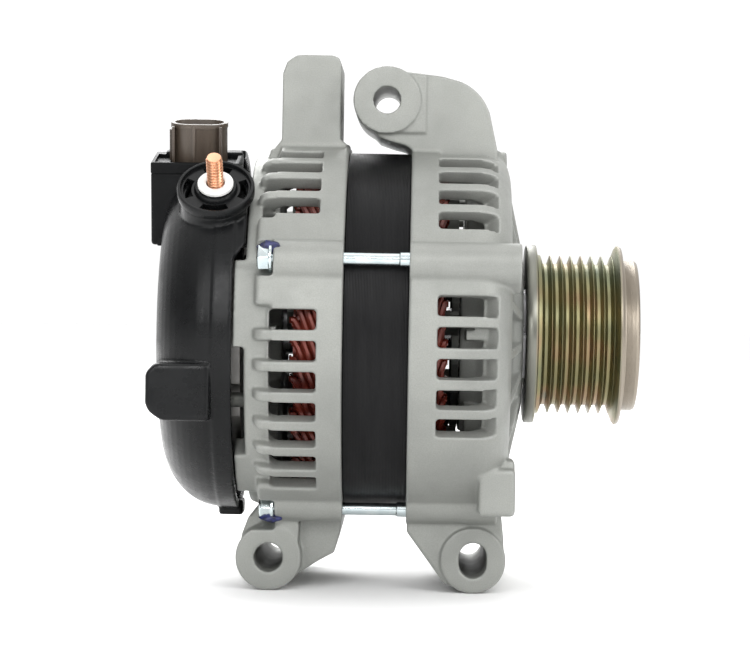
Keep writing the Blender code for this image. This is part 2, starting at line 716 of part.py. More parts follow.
def make_regulator():
    """Regulator module in the rear cover's notch, with its socket and three blades."""
    module = radial_block("voltage_regulator", MODULE_STATIONS, MODULE_RADII, MODULE_SIDES, MODULE_ANGLE)
    foot = MODULE_RADII[1] + GAP
    shell = along_radius("connector_shell", connector_outline(0), foot, CONNECTOR_TOP, MODULE_ANGLE)
    cut(shell, along_radius("socket", connector_outline(CONNECTOR_WALL), foot - 5, CONNECTOR_TOP + 5,
                            MODULE_ANGLE))
    blades = []
    for k in range(3):
        x = CONNECTOR_CENTRE[0] + 4.6 * (k - 1)
        blades.append(radial_block(
            "connector_blade_%d" % (k + 1), (x - 1.1, x + 1.1), (foot, foot + 5.5),
            (CONNECTOR_CENTRE[1] - 0.4, CONNECTOR_CENTRE[1] + 0.4), MODULE_ANGLE))
    return [module, shell] + blades


# ---------------------------------------------------------------- rear cover and terminal
def terminal_axis():
    return {"origin": (TERMINAL_STATION, 0, 0), "axis": (0, *across(1, 0, TERMINAL_ANGLE))}


def make_terminal():
    """Output stud with its insulating collar and seat washer, standing out at 45 degrees."""
    low, high = COLLAR_HEIGHTS
    place = terminal_axis()
    collar = turned("terminal_collar", (
        (52.5, 5.0), (52.5, 9.4), (low, 9.4), (low, COLLAR_RADIUS - 0.5), (low + 0.6, COLLAR_RADIUS),
        (high, COLLAR_RADIUS), (high, COLLAR_RADIUS - 1.2), (high - 1.4, COLLAR_RADIUS - 1.8),
        (high - 1.4, 7.2), (high, 6.9), (high, 5.0),
    ), 20, **place)
    stud = turned("terminal_stud", (
        (51.0, 0), (51.0, 4.5), (66.5, 4.5), (67.6, STUD_RADIUS), (STUD_TOP - 0.8, STUD_RADIUS),
        (STUD_TOP, STUD_RADIUS - 0.8), (STUD_TOP, 0),
    ), 12, **place)
    washer = turned("terminal_washer", (
        (high + GAP, STUD_RADIUS + 0.35), (high + GAP, WASHER_RADIUS),
        (high + 1.4, WASHER_RADIUS), (high + 1.4, STUD_RADIUS + 0.35),
    ), 18, **place)
    return [collar, stud, washer]


def cover_profile(wall):
    """Quarter ellipse of the cover's back, drawn in by the wall for its inside."""
    reach = COVER_STEP - COVER_BACK - wall
    rise = COVER_RADIUS - COVER_FLAT_RADIUS - wall * 0.6
    base = COVER_RADIUS - wall - rise
    return [(COVER_STEP - reach * x, base + rise * y) for x, y in arc((0, 0), 1.0, 0, 90, 4)]


def make_rear_cover():
    """Moulded cover over the rectifier, notched for the regulator."""
    skirt = COVER_RADIUS + 0.5
    cover = turned("rear_cover", [
        (COVER_BACK, 0), *cover_profile(0), (COVER_STEP, skirt), (COVER_RIM, skirt), (COVER_RIM, 0),
    ])
    bulge = block("bulge", (-89.6, -61.0, -31.0), (-72.0, -32.0, -13.0))
    boss = turned("boss", ((46.0, 0), (46.0, 12.3), (COLLAR_HEIGHTS[0] - GAP, 12.3),
                           (COLLAR_HEIGHTS[0] - GAP, 0)), 18, **terminal_axis())
    pad = ((-82.6, 0), (-82.6, 6.4), (-75.0, 6.4), (-75.0, 0))
    spot_face = ((-95.0, 0), (-95.0, 6.0), (-82.6, 6.0), (-82.6, 0))
    hole = ((-95.0, 0), (-95.0, 2.9), (-60.0, 2.9), (-60.0, 0))
    axes = [(0, *across(COVER_SCREW_CIRCLE, 0, a)) for a in COVER_SCREW_ANGLES]
    tab = block("tab", (-68.0, -6.0, -64.6), (-59.6, 6.0, -58.0))
    joined(cover, bulge, boss, tab)
    hollow = turned("hollow", [
        (COVER_BACK + COVER_WALL, 0), *cover_profile(COVER_WALL), (-58.0, COVER_RADIUS - COVER_WALL),
        (-58.0, 0),
    ])
    bore = turned("bore", ((40.0, 0), (40.0, 9.9), (70.0, 9.9), (70.0, 0)), 18, **terminal_axis())
    notch = radial_block("notch", (-100.0, -50.0), (MODULE_RADII[0] - 0.5, 90.0),
                         (MODULE_SIDES[0] - 0.5, MODULE_SIDES[1] + 0.5), MODULE_ANGLE)
    vents = end_windows((-90.0, -80.0), (16.0, 29.0), 8, 22.0)
    pads = gathered("pads", [turned("pad", pad, 10, a) for a in axes])
    spots = gathered("spots", [turned("spot", spot_face, 10, a) for a in axes])
    holes = gathered("holes", [turned("hole", hole, 8, a) for a in axes])
    clearance = block("clearance", (REAR_FACE - GAP, -80.0, -80.0), (-50.0, 80.0, 80.0))
    joined(cut(cover, hollow, clearance), pads)
    return cut(cover, bore, notch, vents, spots, holes)


def make_cover_screws():
    screws = []
    for k, angle in enumerate(COVER_SCREW_ANGLES):
        axis = (0, *across(COVER_SCREW_CIRCLE, 0, angle))
        screw = turned("cover_screw_%d" % (k + 1), (
            (-84.1, 0), (-84.1, 5.2), (-82.9, 5.2), (-82.9, 2.5), (-53.6, 2.5), (-53.6, 0),
        ), 8, axis)
        head = turned("head", ((-87.0, 0), (-87.0, 4.3), (-84.0, 4.3), (-84.0, 0)), 6, axis)
        screws.append(joined(screw, head))
    return screws


# ---------------------------------------------------------------- assembly
def material(finish):
    name = "finish_" + finish
    if name in bpy.data.materials:
        return bpy.data.materials[name]
    colour, roughness, metallic = FINISHES[finish]
    made = bpy.data.materials.new(name)
    made.use_nodes = True
    shader = made.node_tree.nodes["Principled BSDF"]
    shader.inputs["Base Color"].default_value = (*colour, 1.0)
    shader.inputs["Roughness"].default_value = roughness
    shader.inputs["Metallic"].default_value = metallic
    return made


def dress(pieces, finish, parent):
    """Give pieces their finish and smooth shading, and hang them on their parent."""
    for piece in pieces:
        piece.data.materials.clear()
        piece.data.materials.append(material(finish))
        piece.data.shade_smooth()
        piece.data.set_sharp_from_angle(angle=math.radians(30.0))
        piece.parent = parent


def hanger(name, parent=None, location=(0, 0, 0)):
    empty = bpy.data.objects.new(name, None)
    bpy.context.scene.collection.objects.link(empty)
    empty.parent = parent
    empty.location = location
    return empty


def main():
    for obj in list(bpy.data.objects):
        bpy.data.objects.remove(obj)
    alternator = hanger("alternator", location=(-SHAFT_END * MM, 0, 0))
    rotor = hanger("rotor_axis", alternator)
    pulley = hanger("pulley_axis", alternator)

    dress([make_drive_end_bracket(), make_rear_bracket()], "cast", alternator)
    dress([make_stator_core()], "laminate", alternator)
    dress([make_stator_winding()], "copper", alternator)
    dress(make_through_bolts(), "zinc", alternator)

    bearings = make_bearing("front_bearing", FRONT_BEARING, FRONT_BEARING_RADII, FRONT_BALL)
    bearings += make_bearing("rear_bearing", REAR_BEARING, REAR_BEARING_RADII, REAR_BALL)
    dress(bearings, "steel", rotor)
    dress(make_bearing_retainer(), "zinc", alternator)
    dress([make_rear_bearing_sleeve()], "brown", alternator)

    dress([make_rotor_shaft()], "steel", rotor)
    poles = [
        make_claw_pole("front_claw_pole", FRONT_POLE, 22.5, False),
        make_claw_pole("rear_claw_pole", REAR_POLE, 0.0, True),
    ]
    dress(poles, "iron", rotor)
    dress([make_field_coil()], "copper", rotor)
    fans = [
        make_fan("front_fan", (FRONT_POLE[1] + GAP, FRONT_POLE[1] + 1.5), 13.8, 10, 7.0),
        make_fan("rear_fan", (REAR_POLE[0] - 1.5, REAR_POLE[0] - GAP), -43.5, 12, 7.0),
    ]
    dress(fans, "steel", rotor)
    sleeve, *rings = make_slip_rings()
    dress([sleeve], "black", rotor)
    dress(rings, "stud", rotor)

    dress([make_pulley_ring()], "yellow", pulley)
    dress(make_pulley_core(), "steel", rotor)

    negative = rectifier_plate("rectifier_negative_plate", (-61.8, -58.8), ())
    insulator = rectifier_plate("rectifier_terminal_block", (-66.0, -62.1), NEGATIVE_DIODES)
    positive = rectifier_plate("rectifier_positive_plate", (-69.6, -66.4), NEGATIVE_DIODES)
    dress([negative, positive], "plate", alternator)
    dress([insulator], "black", alternator)
    dress(make_diodes("negative", NEGATIVE_DIODES, (-71.0, -62.1)), "steel", alternator)
    dress(make_diodes("positive", POSITIVE_DIODES, (-79.0, -69.9)), "steel", alternator)

    holder, *contacts = make_brush_gear()
    dress([holder], "black", alternator)
    dress([piece for piece in contacts if "spring" in piece.name], "steel", alternator)
    dress([piece for piece in contacts if "spring" not in piece.name], "carbon", alternator)
    module, shell, *blades = make_regulator()
    dress([module], "black", alternator)
    dress([shell], "brown", alternator)
    dress(blades, "stud", alternator)

    collar, stud, washer = make_terminal()
    dress([collar], "black", alternator)
    dress([stud], "stud", alternator)
    dress([washer], "white", alternator)
    dress([make_rear_cover()], "black", alternator)
    dress(make_cover_screws(), "zinc", alternator)


main()
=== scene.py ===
"""The looks of the car alternator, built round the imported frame.

Stations along the shaft are in millimetres from the datum, SHAFT_END behind the shaft's end
face, as in the part. Angles across the shaft are in degrees: 0 is -Y, 90 is up, 180 is +Y.
"""

import json
import math

import bmesh
import bpy
from mathutils import Euler, Matrix, Vector


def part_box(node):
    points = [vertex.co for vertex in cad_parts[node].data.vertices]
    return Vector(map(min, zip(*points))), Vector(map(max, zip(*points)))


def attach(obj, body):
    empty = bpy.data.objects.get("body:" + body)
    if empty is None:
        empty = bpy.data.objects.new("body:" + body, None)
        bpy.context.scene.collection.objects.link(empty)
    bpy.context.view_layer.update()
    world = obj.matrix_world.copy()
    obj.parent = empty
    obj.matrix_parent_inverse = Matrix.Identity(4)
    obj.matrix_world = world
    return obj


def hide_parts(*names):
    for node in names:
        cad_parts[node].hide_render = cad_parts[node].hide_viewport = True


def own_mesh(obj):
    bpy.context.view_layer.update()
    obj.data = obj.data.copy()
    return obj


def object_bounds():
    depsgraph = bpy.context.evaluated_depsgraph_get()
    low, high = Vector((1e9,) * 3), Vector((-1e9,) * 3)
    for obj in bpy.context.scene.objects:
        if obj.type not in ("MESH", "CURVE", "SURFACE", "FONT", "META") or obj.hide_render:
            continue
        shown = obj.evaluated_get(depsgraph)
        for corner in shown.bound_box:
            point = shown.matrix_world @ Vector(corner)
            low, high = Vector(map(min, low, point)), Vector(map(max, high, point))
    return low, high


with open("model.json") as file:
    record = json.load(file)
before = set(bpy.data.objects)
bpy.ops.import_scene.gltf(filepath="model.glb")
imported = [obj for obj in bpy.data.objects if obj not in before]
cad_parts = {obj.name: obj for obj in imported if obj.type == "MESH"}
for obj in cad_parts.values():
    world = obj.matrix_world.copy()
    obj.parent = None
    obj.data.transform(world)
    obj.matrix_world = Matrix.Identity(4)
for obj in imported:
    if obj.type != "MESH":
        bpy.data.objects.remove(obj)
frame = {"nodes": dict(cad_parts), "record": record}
CAD_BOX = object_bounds()
NODES = frame["nodes"]

MM = 0.001
WELD = 0.000002
FINE = 144


def station(value):
    """Station in millimetres of a coordinate along the shaft in metres."""
    return value / MM + SHAFT_END


def span(node, axis):
    """Lowest and highest value of a CAD node along an axis, in millimetres."""
    low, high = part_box(node)
    shift = SHAFT_END if axis == 0 else 0.0
    return low[axis] / MM + shift, high[axis] / MM + shift


# ------------------------------------------------------------------ places, from the frame
SHAFT_END = 75.0
CORE = span("stator_core", 0)
CORE_LOW, CORE_HIGH = CORE[0] + 4.3, CORE[1] - 4.3
CASE_RADIUS = 65.0
CASE_BORE = 60.0
BOLT_CIRCLE = 65.0
BOLT_ANGLES = (21.9, 111.9, 201.9, 291.9)
BOLT_SEAT = -47.5
FRONT_FACE = 30.3
HUB_FACE = span("drive_end_bracket", 0)[1]
REAR_FACE = -56.8
WINDOW_PITCH = 9.25
WINDOW_WIDTH = 6.8
FRONT_ROWS = ((35.6, 5), (125.6, 8), (215.6, 1), (331.4, 5))
REAR_ROWS = ((40.2, 4), (125.6, 8), (215.6, 1), (308.25, 7))
EAR = (-11.7, 79.4)
FRONT_LUG = (20.2, -77.3)
REAR_LUG = (-49.5, -77.3)
EAR_RADIUS, LUG_RADIUS = 11.6, 11.2
TERMINAL_STATION = sum(span("terminal_stud", 0)) / 2
TERMINAL_ANGLE = 45.0
MODULE_ANGLE = 77.0
MODULE = span("voltage_regulator", 0)
PULLEY = span("pulley_ring", 0)
COVER_SCREWS = (130.0, 245.0, 335.0)
HAIRPIN = ((0.0, 0.0), (0.12, 0.0), (0.3, 0.8), (0.55, 2.0), (0.8, 3.2), (0.93, 3.6), (1.0, 3.6))


# ------------------------------------------------------------------ shape helpers
def across(radius, offset, angle):
    """(y, z) of a point at a radius along an angle and an offset square to it."""
    turn = math.radians(angle)
    return (
        -radius * math.cos(turn) + offset * math.sin(turn),
        radius * math.sin(turn) + offset * math.cos(turn),
    )


def arc(centre, radius, start, stop, steps):
    """Points of an arc in a plane, angles in degrees from the first axis."""
    turns = [math.radians(start + (stop - start) * k / steps) for k in range(steps + 1)]
    return [(centre[0] + radius * math.cos(t), centre[1] + radius * math.sin(t)) for t in turns]


def link(name, mesh):
    obj = bpy.data.objects.new(name, mesh)
    bpy.context.scene.collection.objects.link(obj)
    return obj


def make(name, bm, matrix=None):
    """Object in metres, in the row frame, from a closed bmesh in millimetres."""
    if matrix is not None:
        bmesh.ops.transform(bm, matrix=matrix, verts=bm.verts)
    bmesh.ops.recalc_face_normals(bm, faces=bm.faces)
    place = Matrix.Scale(MM, 4) @ Matrix.Translation((-SHAFT_END, 0, 0))
    bmesh.ops.transform(bm, matrix=place, verts=bm.verts)
    mesh = bpy.data.meshes.new(name)
    bm.to_mesh(mesh)
    bm.free()
    return link(name, mesh)


def turned(name, profile, segments=FINE, origin=(0, 0, 0), axis=(1, 0, 0)):
    """Closed (station, radius) profile turned about an axis through the origin given."""
    bm = bmesh.new()
    rings = []
    for x, radius in profile:
        if radius == 0:
            rings.append([bm.verts.new((x, 0, 0))] * segments)
            continue
        turns = [2 * math.pi * k / segments for k in range(segments)]
        rings.append([bm.verts.new((x, radius * math.cos(t), radius * math.sin(t))) for t in turns])
    for ring, following in zip(rings, rings[1:] + rings[:1]):
        for k in range(segments):
            corners = list(dict.fromkeys((ring[k - 1], ring[k], following[k], following[k - 1])))
            if len(corners) > 2:
                bm.faces.new(corners)
    swing = Vector((1, 0, 0)).rotation_difference(Vector(axis)).to_matrix().to_4x4()
    return make(name, bm, Matrix.Translation(origin) @ swing)


def extruded(name, outline, low, high, place):
    """Outline extruded from low to high; place(u, v, w) gives each corner's position."""
    bm = bmesh.new()
    lower = [bm.verts.new(place(u, v, low)) for u, v in outline]
    upper = [bm.verts.new(place(u, v, high)) for u, v in outline]
    bm.faces.new(lower)
    bm.faces.new(upper)
    for k in range(len(outline)):
        bm.faces.new((lower[k - 1], lower[k], upper[k], upper[k - 1]))
    return make(name, bm)


def along_x(name, outline, low, high):
    return extruded(name, outline, low, high, lambda u, v, w: (w, u, v))


def along_y(name, outline, low, high):
    return extruded(name, outline, low, high, lambda u, v, w: (u, w, v))


def along_radius(name, outline, low, high, angle):
    return extruded(name, outline, low, high, lambda u, v, w: (u, *across(w, v, angle)))


def radial_block(name, stations, radii, offsets, angle):
    """Block with its sides along and square to an angle across the shaft."""
    (a, b), (c, d) = stations, offsets
    return along_radius(name, ((a, c), (b, c), (b, d), (a, d)), radii[0], radii[1], angle)


def block(name, low, high):
    outline = ((low[1], low[2]), (high[1], low[2]), (high[1], high[2]), (low[1], high[2]))
    return along_x(name, outline, low[0], high[0])


def rod(name, low, high, radius, segments=48, origin=(0, 0, 0), axis=(1, 0, 0)):
    return turned(name, ((low, 0), (low, radius), (high, radius), (high, 0)), segments, origin, axis)


def gathered(name, pieces):
    """One object holding the meshes of several."""
    bm = bmesh.new()
    for piece in pieces:
        bm.from_mesh(piece.data)
        bpy.data.objects.remove(piece)
    mesh = bpy.data.meshes.new(name)
    bm.to_mesh(mesh)
    bm.free()
    return link(name, mesh)


def settled(obj):
    """The object with its modifiers worked into its mesh."""
    depsgraph = bpy.context.evaluated_depsgraph_get()
    obj.data = bpy.data.meshes.new_from_object(obj.evaluated_get(depsgraph))
    obj.modifiers.clear()
    return obj


def weld(mesh):
    """Close the hairline slivers that a Boolean leaves."""
    bm = bmesh.new()
    bm.from_mesh(mesh)
    bmesh.ops.remove_doubles(bm, verts=bm.verts, dist=WELD)
    bmesh.ops.dissolve_degenerate(bm, edges=bm.edges, dist=WELD)
    bm.to_mesh(mesh)
    bm.free()


def combined(target, operation, tools):
    """Boolean of the target with each tool in turn; the tools are used up."""
    for tool in tools:
        modifier = target.modifiers.new(operation, "BOOLEAN")
        modifier.operation = operation
        modifier.object = tool
        settled(target)
        bpy.data.objects.remove(tool)
        weld(target.data)
    return target


def joined(target, *tools):
    return combined(target, "UNION", tools)


def cut(target, *tools):
    return combined(target, "DIFFERENCE", tools)


def bevelled(obj, width, segments=3, angle=30.0):
    """Rounded edges on a mesh of clean, flat faces."""
    modifier = obj.modifiers.new("bevel", "BEVEL")
    modifier.width = width * MM
    modifier.segments = segments
    modifier.limit_method = "ANGLE"
    modifier.angle_limit = math.radians(angle)
    return settled(obj)


def softened(obj, voxel, rounds, keep=1.0):
    """Soft-edged casting or moulding: even voxels, smoothed, then fewer faces."""
    remesh = obj.modifiers.new("even", "REMESH")
    remesh.mode = "VOXEL"
    remesh.voxel_size = voxel * 1.0 * MM
    smooth = obj.modifiers.new("soft", "SMOOTH")
    smooth.factor = 0.5
    smooth.iterations = rounds
    settled(obj)
    if keep < 1.0:
        fewer = obj.modifiers.new("fewer", "DECIMATE")
        fewer.ratio = keep
        settled(obj)
    return obj


def finish(obj, material, body, *replaced, slot=None, sharp=35.0):
    """Material, smooth shading, body and the CAD nodes that the piece stands for."""
    obj.data.materials.clear()
    obj.data.materials.append(material)
    obj.data.shade_smooth()
    if sharp:
        obj.data.set_sharp_from_angle(angle=math.radians(sharp))
    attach(obj, body)
    if replaced:
        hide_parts(*replaced)
    return obj


# ------------------------------------------------------------------ materials
class Shader:
    """A Principled material with a few procedural layers, in object coordinates."""

    def __init__(self, name, colour, roughness, metallic=0.0):
        self.material = bpy.data.materials.new(name)
        self.material.use_nodes = True
        self.tree = self.material.node_tree
        self.surface = self.tree.nodes["Principled BSDF"]
        self.surface.inputs["Base Color"].default_value = (*colour, 1.0)
        self.surface.inputs["Roughness"].default_value = roughness
        self.surface.inputs["Metallic"].default_value = metallic
        self.colour = colour
        self.normal = None
        self.place = self.node("ShaderNodeTexCoord").outputs["Object"]

    def node(self, kind, **values):
        made = self.tree.nodes.new(kind)
        for key, value in values.items():
            setattr(made, key, value)
        return made

    def join(self, source, target):
        self.tree.links.new(source, target)
        return target

    def stretched(self, scale):
        mapping = self.node("ShaderNodeMapping")
        mapping.inputs["Scale"].default_value = scale
        self.join(self.place, mapping.inputs["Vector"])
        return mapping.outputs["Vector"]

    def noise(self, scale, detail=4.0, stretch=(1, 1, 1), rough=0.55):
        made = self.node("ShaderNodeTexNoise")
        made.inputs["Scale"].default_value = scale
        made.inputs["Detail"].default_value = detail
        made.inputs["Roughness"].default_value = rough
        self.join(self.stretched(stretch), made.inputs["Vector"])
        return made.outputs["Fac"]

    def remap(self, value, low, high, new_low, new_high):
        made = self.node("ShaderNodeMapRange")
        for name, number in zip(("From Min", "From Max", "To Min", "To Max"), (low, high, new_low, new_high)):
            made.inputs[name].default_value = number
        self.join(value, made.inputs["Value"])
        return made.outputs["Result"]

    def ramp(self, value, stops):
        made = self.node("ShaderNodeValToRGB")
        elements = made.color_ramp.elements
        while len(elements) < len(stops):
            elements.new(0.5)
        for element, (place, colour) in zip(elements, stops):
            element.position = place
            element.color = (*colour, 1.0)
        self.join(value, made.inputs["Fac"])
        return made.outputs["Color"]

    def mix(self, factor, first, second):
        made = self.node("ShaderNodeMix", data_type="RGBA")
        self.join(factor, made.inputs["Factor"])
        for socket, value in ((made.inputs[6], first), (made.inputs[7], second)):
            if isinstance(value, tuple):
                socket.default_value = (*value, 1.0)
            else:
                self.join(value, socket)
        return made.outputs[2]

    def paint(self, colour):
        self.join(colour, self.surface.inputs["Base Color"])
        return self

    def rough(self, value):
        self.join(value, self.surface.inputs["Roughness"])
        return self

    def bump(self, height, distance, strength=1.0):
        made = self.node("ShaderNodeBump")
        made.inputs["Distance"].default_value = distance
        made.inputs["Strength"].default_value = strength
        self.join(height, made.inputs["Height"])
        if self.normal is not None:
            self.join(self.normal, made.inputs["Normal"])
        self.normal = made.outputs["Normal"]
        self.join(self.normal, self.surface.inputs["Normal"])
        return self

    def edges(self, low, high):
        """0 in hollows and on flats, 1 on worn edges."""
        geometry = self.node("ShaderNodeNewGeometry")
        return self.remap(geometry.outputs["Pointiness"], low, high, 0.0, 1.0)


def cast_aluminium():
    """Blasted die casting: pale warm grey, fine grain, cloudy, with rubbed edges."""
    s = Shader("cast_aluminium", (0.5, 0.5, 0.47), 0.5, 0.35)
    cloud = s.remap(s.noise(38.0, 5.0), 0.35, 0.65, 0.0, 1.0)
    base = s.mix(cloud, (0.257, 0.264, 0.247), (0.308, 0.315, 0.294))
    grain = s.remap(s.noise(2600.0, 2.0), 0.3, 0.7, 0.0, 1.0)
    speckled = s.mix(s.remap(grain, 0.0, 1.0, 0.0, 0.35), base, (0.18, 0.185, 0.172))
    stain = s.remap(s.noise(16.0, 8.0, rough=0.7), 0.58, 0.72, 0.0, 0.3)
    aged = s.mix(stain, speckled, (0.22, 0.235, 0.205))
    rubbed = s.mix(s.remap(s.edges(0.52, 0.6), 0.0, 1.0, 0.0, 0.45), aged, (0.46, 0.46, 0.45))
    s.paint(rubbed)
    s.rough(s.remap(s.noise(120.0, 4.0), 0.3, 0.7, 0.42, 0.6))
    s.bump(s.noise(1500.0, 3.0), 0.00007, 0.55)
    s.bump(s.noise(190.0, 4.0), 0.0003, 0.3)
    return s.material


def black_plastic(name="black_plastic", roughness=0.27, shine=0.2):
    """Glass-filled moulding, semi-gloss, with a faint flow pattern."""
    s = Shader(name, (0.02, 0.021, 0.022), roughness)
    s.surface.inputs["Specular IOR Level"].default_value = shine
    flow = s.remap(s.noise(45.0, 5.0), 0.3, 0.7, 0.0, 1.0)
    s.paint(s.mix(flow, (0.003, 0.0033, 0.0036), (0.008, 0.0085, 0.009)))
    s.rough(s.remap(s.noise(160.0, 5.0), 0.3, 0.7, roughness - 0.06, roughness + 0.1))
    s.bump(s.noise(1400.0, 2.0), 0.00004, 0.5)
    s.bump(s.noise(70.0, 3.0), 0.0003, 0.25)
    return s.material


def brown_plastic():
    s = Shader("brown_plastic", (0.12, 0.09, 0.07), 0.42)
    streak = s.remap(s.noise(180.0, 4.0, (1, 1, 0.15)), 0.3, 0.7, 0.0, 1.0)
    s.paint(s.mix(streak, (0.05, 0.036, 0.026), (0.085, 0.066, 0.05)))
    s.bump(s.noise(1200.0, 2.0), 0.00003, 0.5)
    return s.material


def white_washer():
    s = Shader("white_washer", (0.82, 0.82, 0.8), 0.45)
    s.paint(s.mix(s.remap(s.noise(350.0, 4.0), 0.4, 0.7, 0.0, 1.0), (0.84, 0.84, 0.82), (0.7, 0.7, 0.68)))
    s.bump(s.noise(1500.0, 2.0), 0.00003, 0.4)
    return s.material


def copper_plate(name="copper_plate", dull=0.0):
    """Copper-plated thread, brighter on the crests."""
    s = Shader(name, (0.85, 0.42, 0.25), 0.28 + dull, 1.0)
    worn = s.mix(s.remap(s.noise(200.0, 4.0), 0.35, 0.65, 0.0, 1.0), (0.5, 0.2, 0.1), (0.68, 0.33, 0.19))
    s.paint(s.mix(s.edges(0.5, 0.6), worn, (0.9, 0.52, 0.34)))
    s.rough(s.remap(s.noise(300.0, 3.0), 0.3, 0.7, 0.24 + dull, 0.34 + dull))
    return s.material


def zinc_steel():
    """Bright zinc plating with a slight blue cast."""
    s = Shader("zinc_steel", (0.7, 0.73, 0.76), 0.26, 1.0)
    s.paint(s.mix(s.remap(s.noise(160.0, 4.0), 0.35, 0.65, 0.0, 1.0), (0.52, 0.6, 0.62), (0.66, 0.72, 0.73)))
    s.rough(s.remap(s.noise(400.0, 4.0), 0.3, 0.7, 0.17, 0.26))
    s.bump(s.noise(700.0, 3.0), 0.00001, 0.3)
    return s.material


def ground_steel():
    s = Shader("ground_steel", (0.55, 0.55, 0.56), 0.3, 1.0)
    s.paint(s.mix(s.noise(1400.0, 2.0, (1, 0.02, 0.02)), (0.44, 0.44, 0.45), (0.66, 0.66, 0.67)))
    s.rough(s.remap(s.noise(300.0, 4.0), 0.3, 0.7, 0.22, 0.4))
    return s.material


def rotor_iron():
    s = Shader("rotor_iron", (0.14, 0.14, 0.145), 0.5, 0.8)
    s.paint(s.mix(s.remap(s.noise(90.0, 6.0), 0.35, 0.65, 0.0, 1.0), (0.08, 0.08, 0.085), (0.2, 0.195, 0.19)))
    s.bump(s.noise(700.0, 4.0), 0.0001, 0.6)
    return s.material


def yellow_zinc():
    """Turned steel under yellow chromate: rings of gold, rose and green."""
    s = Shader("yellow_zinc", (0.72, 0.6, 0.3), 0.27, 1.0)
    bands = s.noise(300.0, 3.0, (1.0, 0.12, 0.12))
    drift = s.noise(26.0, 3.0, (0.7, 1.0, 1.0))
    blend = s.node("ShaderNodeMath", operation="MULTIPLY_ADD")
    s.join(bands, blend.inputs[0])
    blend.inputs[1].default_value = 0.35
    s.join(drift, blend.inputs[2])
    tint = s.ramp(blend.outputs[0], (
        (0.46, (0.12, 0.145, 0.1)), (0.6, (0.18, 0.185, 0.11)), (0.7, (0.24, 0.215, 0.115)),
        (0.78, (0.29, 0.2, 0.12)), (0.88, (0.19, 0.205, 0.165)),
    ))
    # rose on the nose, grey on the rear flange
    split = s.node("ShaderNodeSeparateXYZ")
    s.join(s.place, split.inputs[0])
    nose = s.remap(split.outputs["X"], -0.0065, -0.0055, 0.0, 1.0)
    flange = s.remap(split.outputs["X"], -0.0350, -0.0335, 1.0, 0.0)
    tint = s.mix(nose, tint, (0.29, 0.255, 0.21))
    s.paint(s.mix(flange, tint, (0.2, 0.2, 0.175)))
    s.rough(s.remap(s.noise(900.0, 3.0, (1, 0.05, 0.05)), 0.3, 0.7, 0.32, 0.46))
    s.bump(s.noise(2600.0, 2.0, (1, 0.01, 0.01)), 0.00003, 0.5)
    return s.material


def laminations():
    """Black varnish over the stack's sheet edges."""
    s = Shader("laminations", (0.022, 0.022, 0.023), 0.42, 0.0)
    s.surface.inputs["Specular IOR Level"].default_value = 0.13
    s.paint(s.mix(s.noise(500.0, 4.0, (1.0, 0.06, 0.06)), (0.004, 0.004, 0.0045), (0.012, 0.012, 0.0125)))
    s.rough(s.remap(s.noise(80.0, 5.0), 0.3, 0.7, 0.3, 0.45))
    s.bump(s.noise(1900.0, 2.0, (1, 0.03, 0.03)), 0.00008, 0.5)
    return s.material


def enamelled_copper():
    s = Shader("enamelled_copper", (0.3, 0.04, 0.03), 0.25, 0.35)
    shade = s.remap(s.noise(120.0, 4.0), 0.35, 0.65, 0.0, 1.0)
    s.paint(s.mix(shade, (0.05, 0.005, 0.004), (0.2, 0.03, 0.016)))
    s.surface.inputs["Coat Weight"].default_value = 0.25
    s.surface.inputs["Coat Roughness"].default_value = 0.25
    return s.material


def painted_shade_steel():
    """Dull pressed steel, its colour darkened with painted shade for the shade inside the casing."""
    s = Shader("painted_shade_steel", (0.16, 0.17, 0.165), 0.5, 0.7)
    cloud = s.remap(s.noise(150.0, 5.0), 0.35, 0.65, 0.0, 1.0)
    # painted shade: both colours kept near black for the shade inside the casing
    s.paint(s.mix(cloud, (0.05, 0.052, 0.048), (0.11, 0.112, 0.1)))
    s.bump(s.noise(900.0, 3.0), 0.00004, 0.5)
    return s.material


def plate_aluminium():
    s = Shader("plate_aluminium", (0.6, 0.6, 0.61), 0.4, 1.0)
    s.paint(s.mix(s.noise(700.0, 3.0, (1, 1, 0.04)), (0.2, 0.195, 0.185), (0.32, 0.31, 0.3)))
    s.rough(s.remap(s.noise(200.0, 4.0), 0.3, 0.7, 0.32, 0.5))
    return s.material


def paint_blue():
    s = Shader("witness_paint", (0.03, 0.05, 0.3), 0.4)
    thickness = s.remap(s.noise(600.0, 4.0), 0.4, 0.6, 0.0, 1.0)
    s.paint(s.mix(thickness, (0.004, 0.005, 0.03), (0.014, 0.018, 0.1)))
    s.bump(s.noise(900.0, 3.0), 0.0001, 0.6)
    return s.material


def carbon():
    s = Shader("carbon", (0.03, 0.03, 0.03), 0.6, 0.2)
    s.bump(s.noise(1800.0, 3.0), 0.00005, 0.6)
    return s.material


CAST = cast_aluminium()
BLACK = black_plastic()
BLACK_MATT = black_plastic("black_plastic_matt", 0.46, 0.1)
BROWN = brown_plastic()
WHITE = white_washer()
COPPER = copper_plate()
ZINC = zinc_steel()
STEEL = ground_steel()
IRON = rotor_iron()
YELLOW = yellow_zinc()
STACK = laminations()
WIRE = enamelled_copper()
PLATE = plate_aluminium()
# steel darkened with painted shade, for parts inside the casing
PAINTED_SHADE_STEEL = painted_shade_steel()
PAINT = paint_blue()
CARBON = carbon()


# ------------------------------------------------------------------ casings
def bolt_axis(angle, circle=BOLT_CIRCLE):
    return (0, *across(circle, 0, angle))


def window_angles(rows):
    return [start + WINDOW_PITCH * k for start, count in rows for k in range(count)]


def windows(stations, rows, radii=(52.0, 67.5), half=WINDOW_WIDTH / 2):
    return gathered("windows", [
        radial_block("window", stations, radii, (-half, half), angle) for angle in window_angles(rows)
    ])


def sector(radii, angles, steps):
    spread = [angles[0] + (angles[1] - angles[0]) * k / steps for k in range(steps + 1)]
    outer = [across(radii[1], 0, angle) for angle in spread]
    return outer + [across(radii[0], 0, angle) for angle in reversed(spread)]


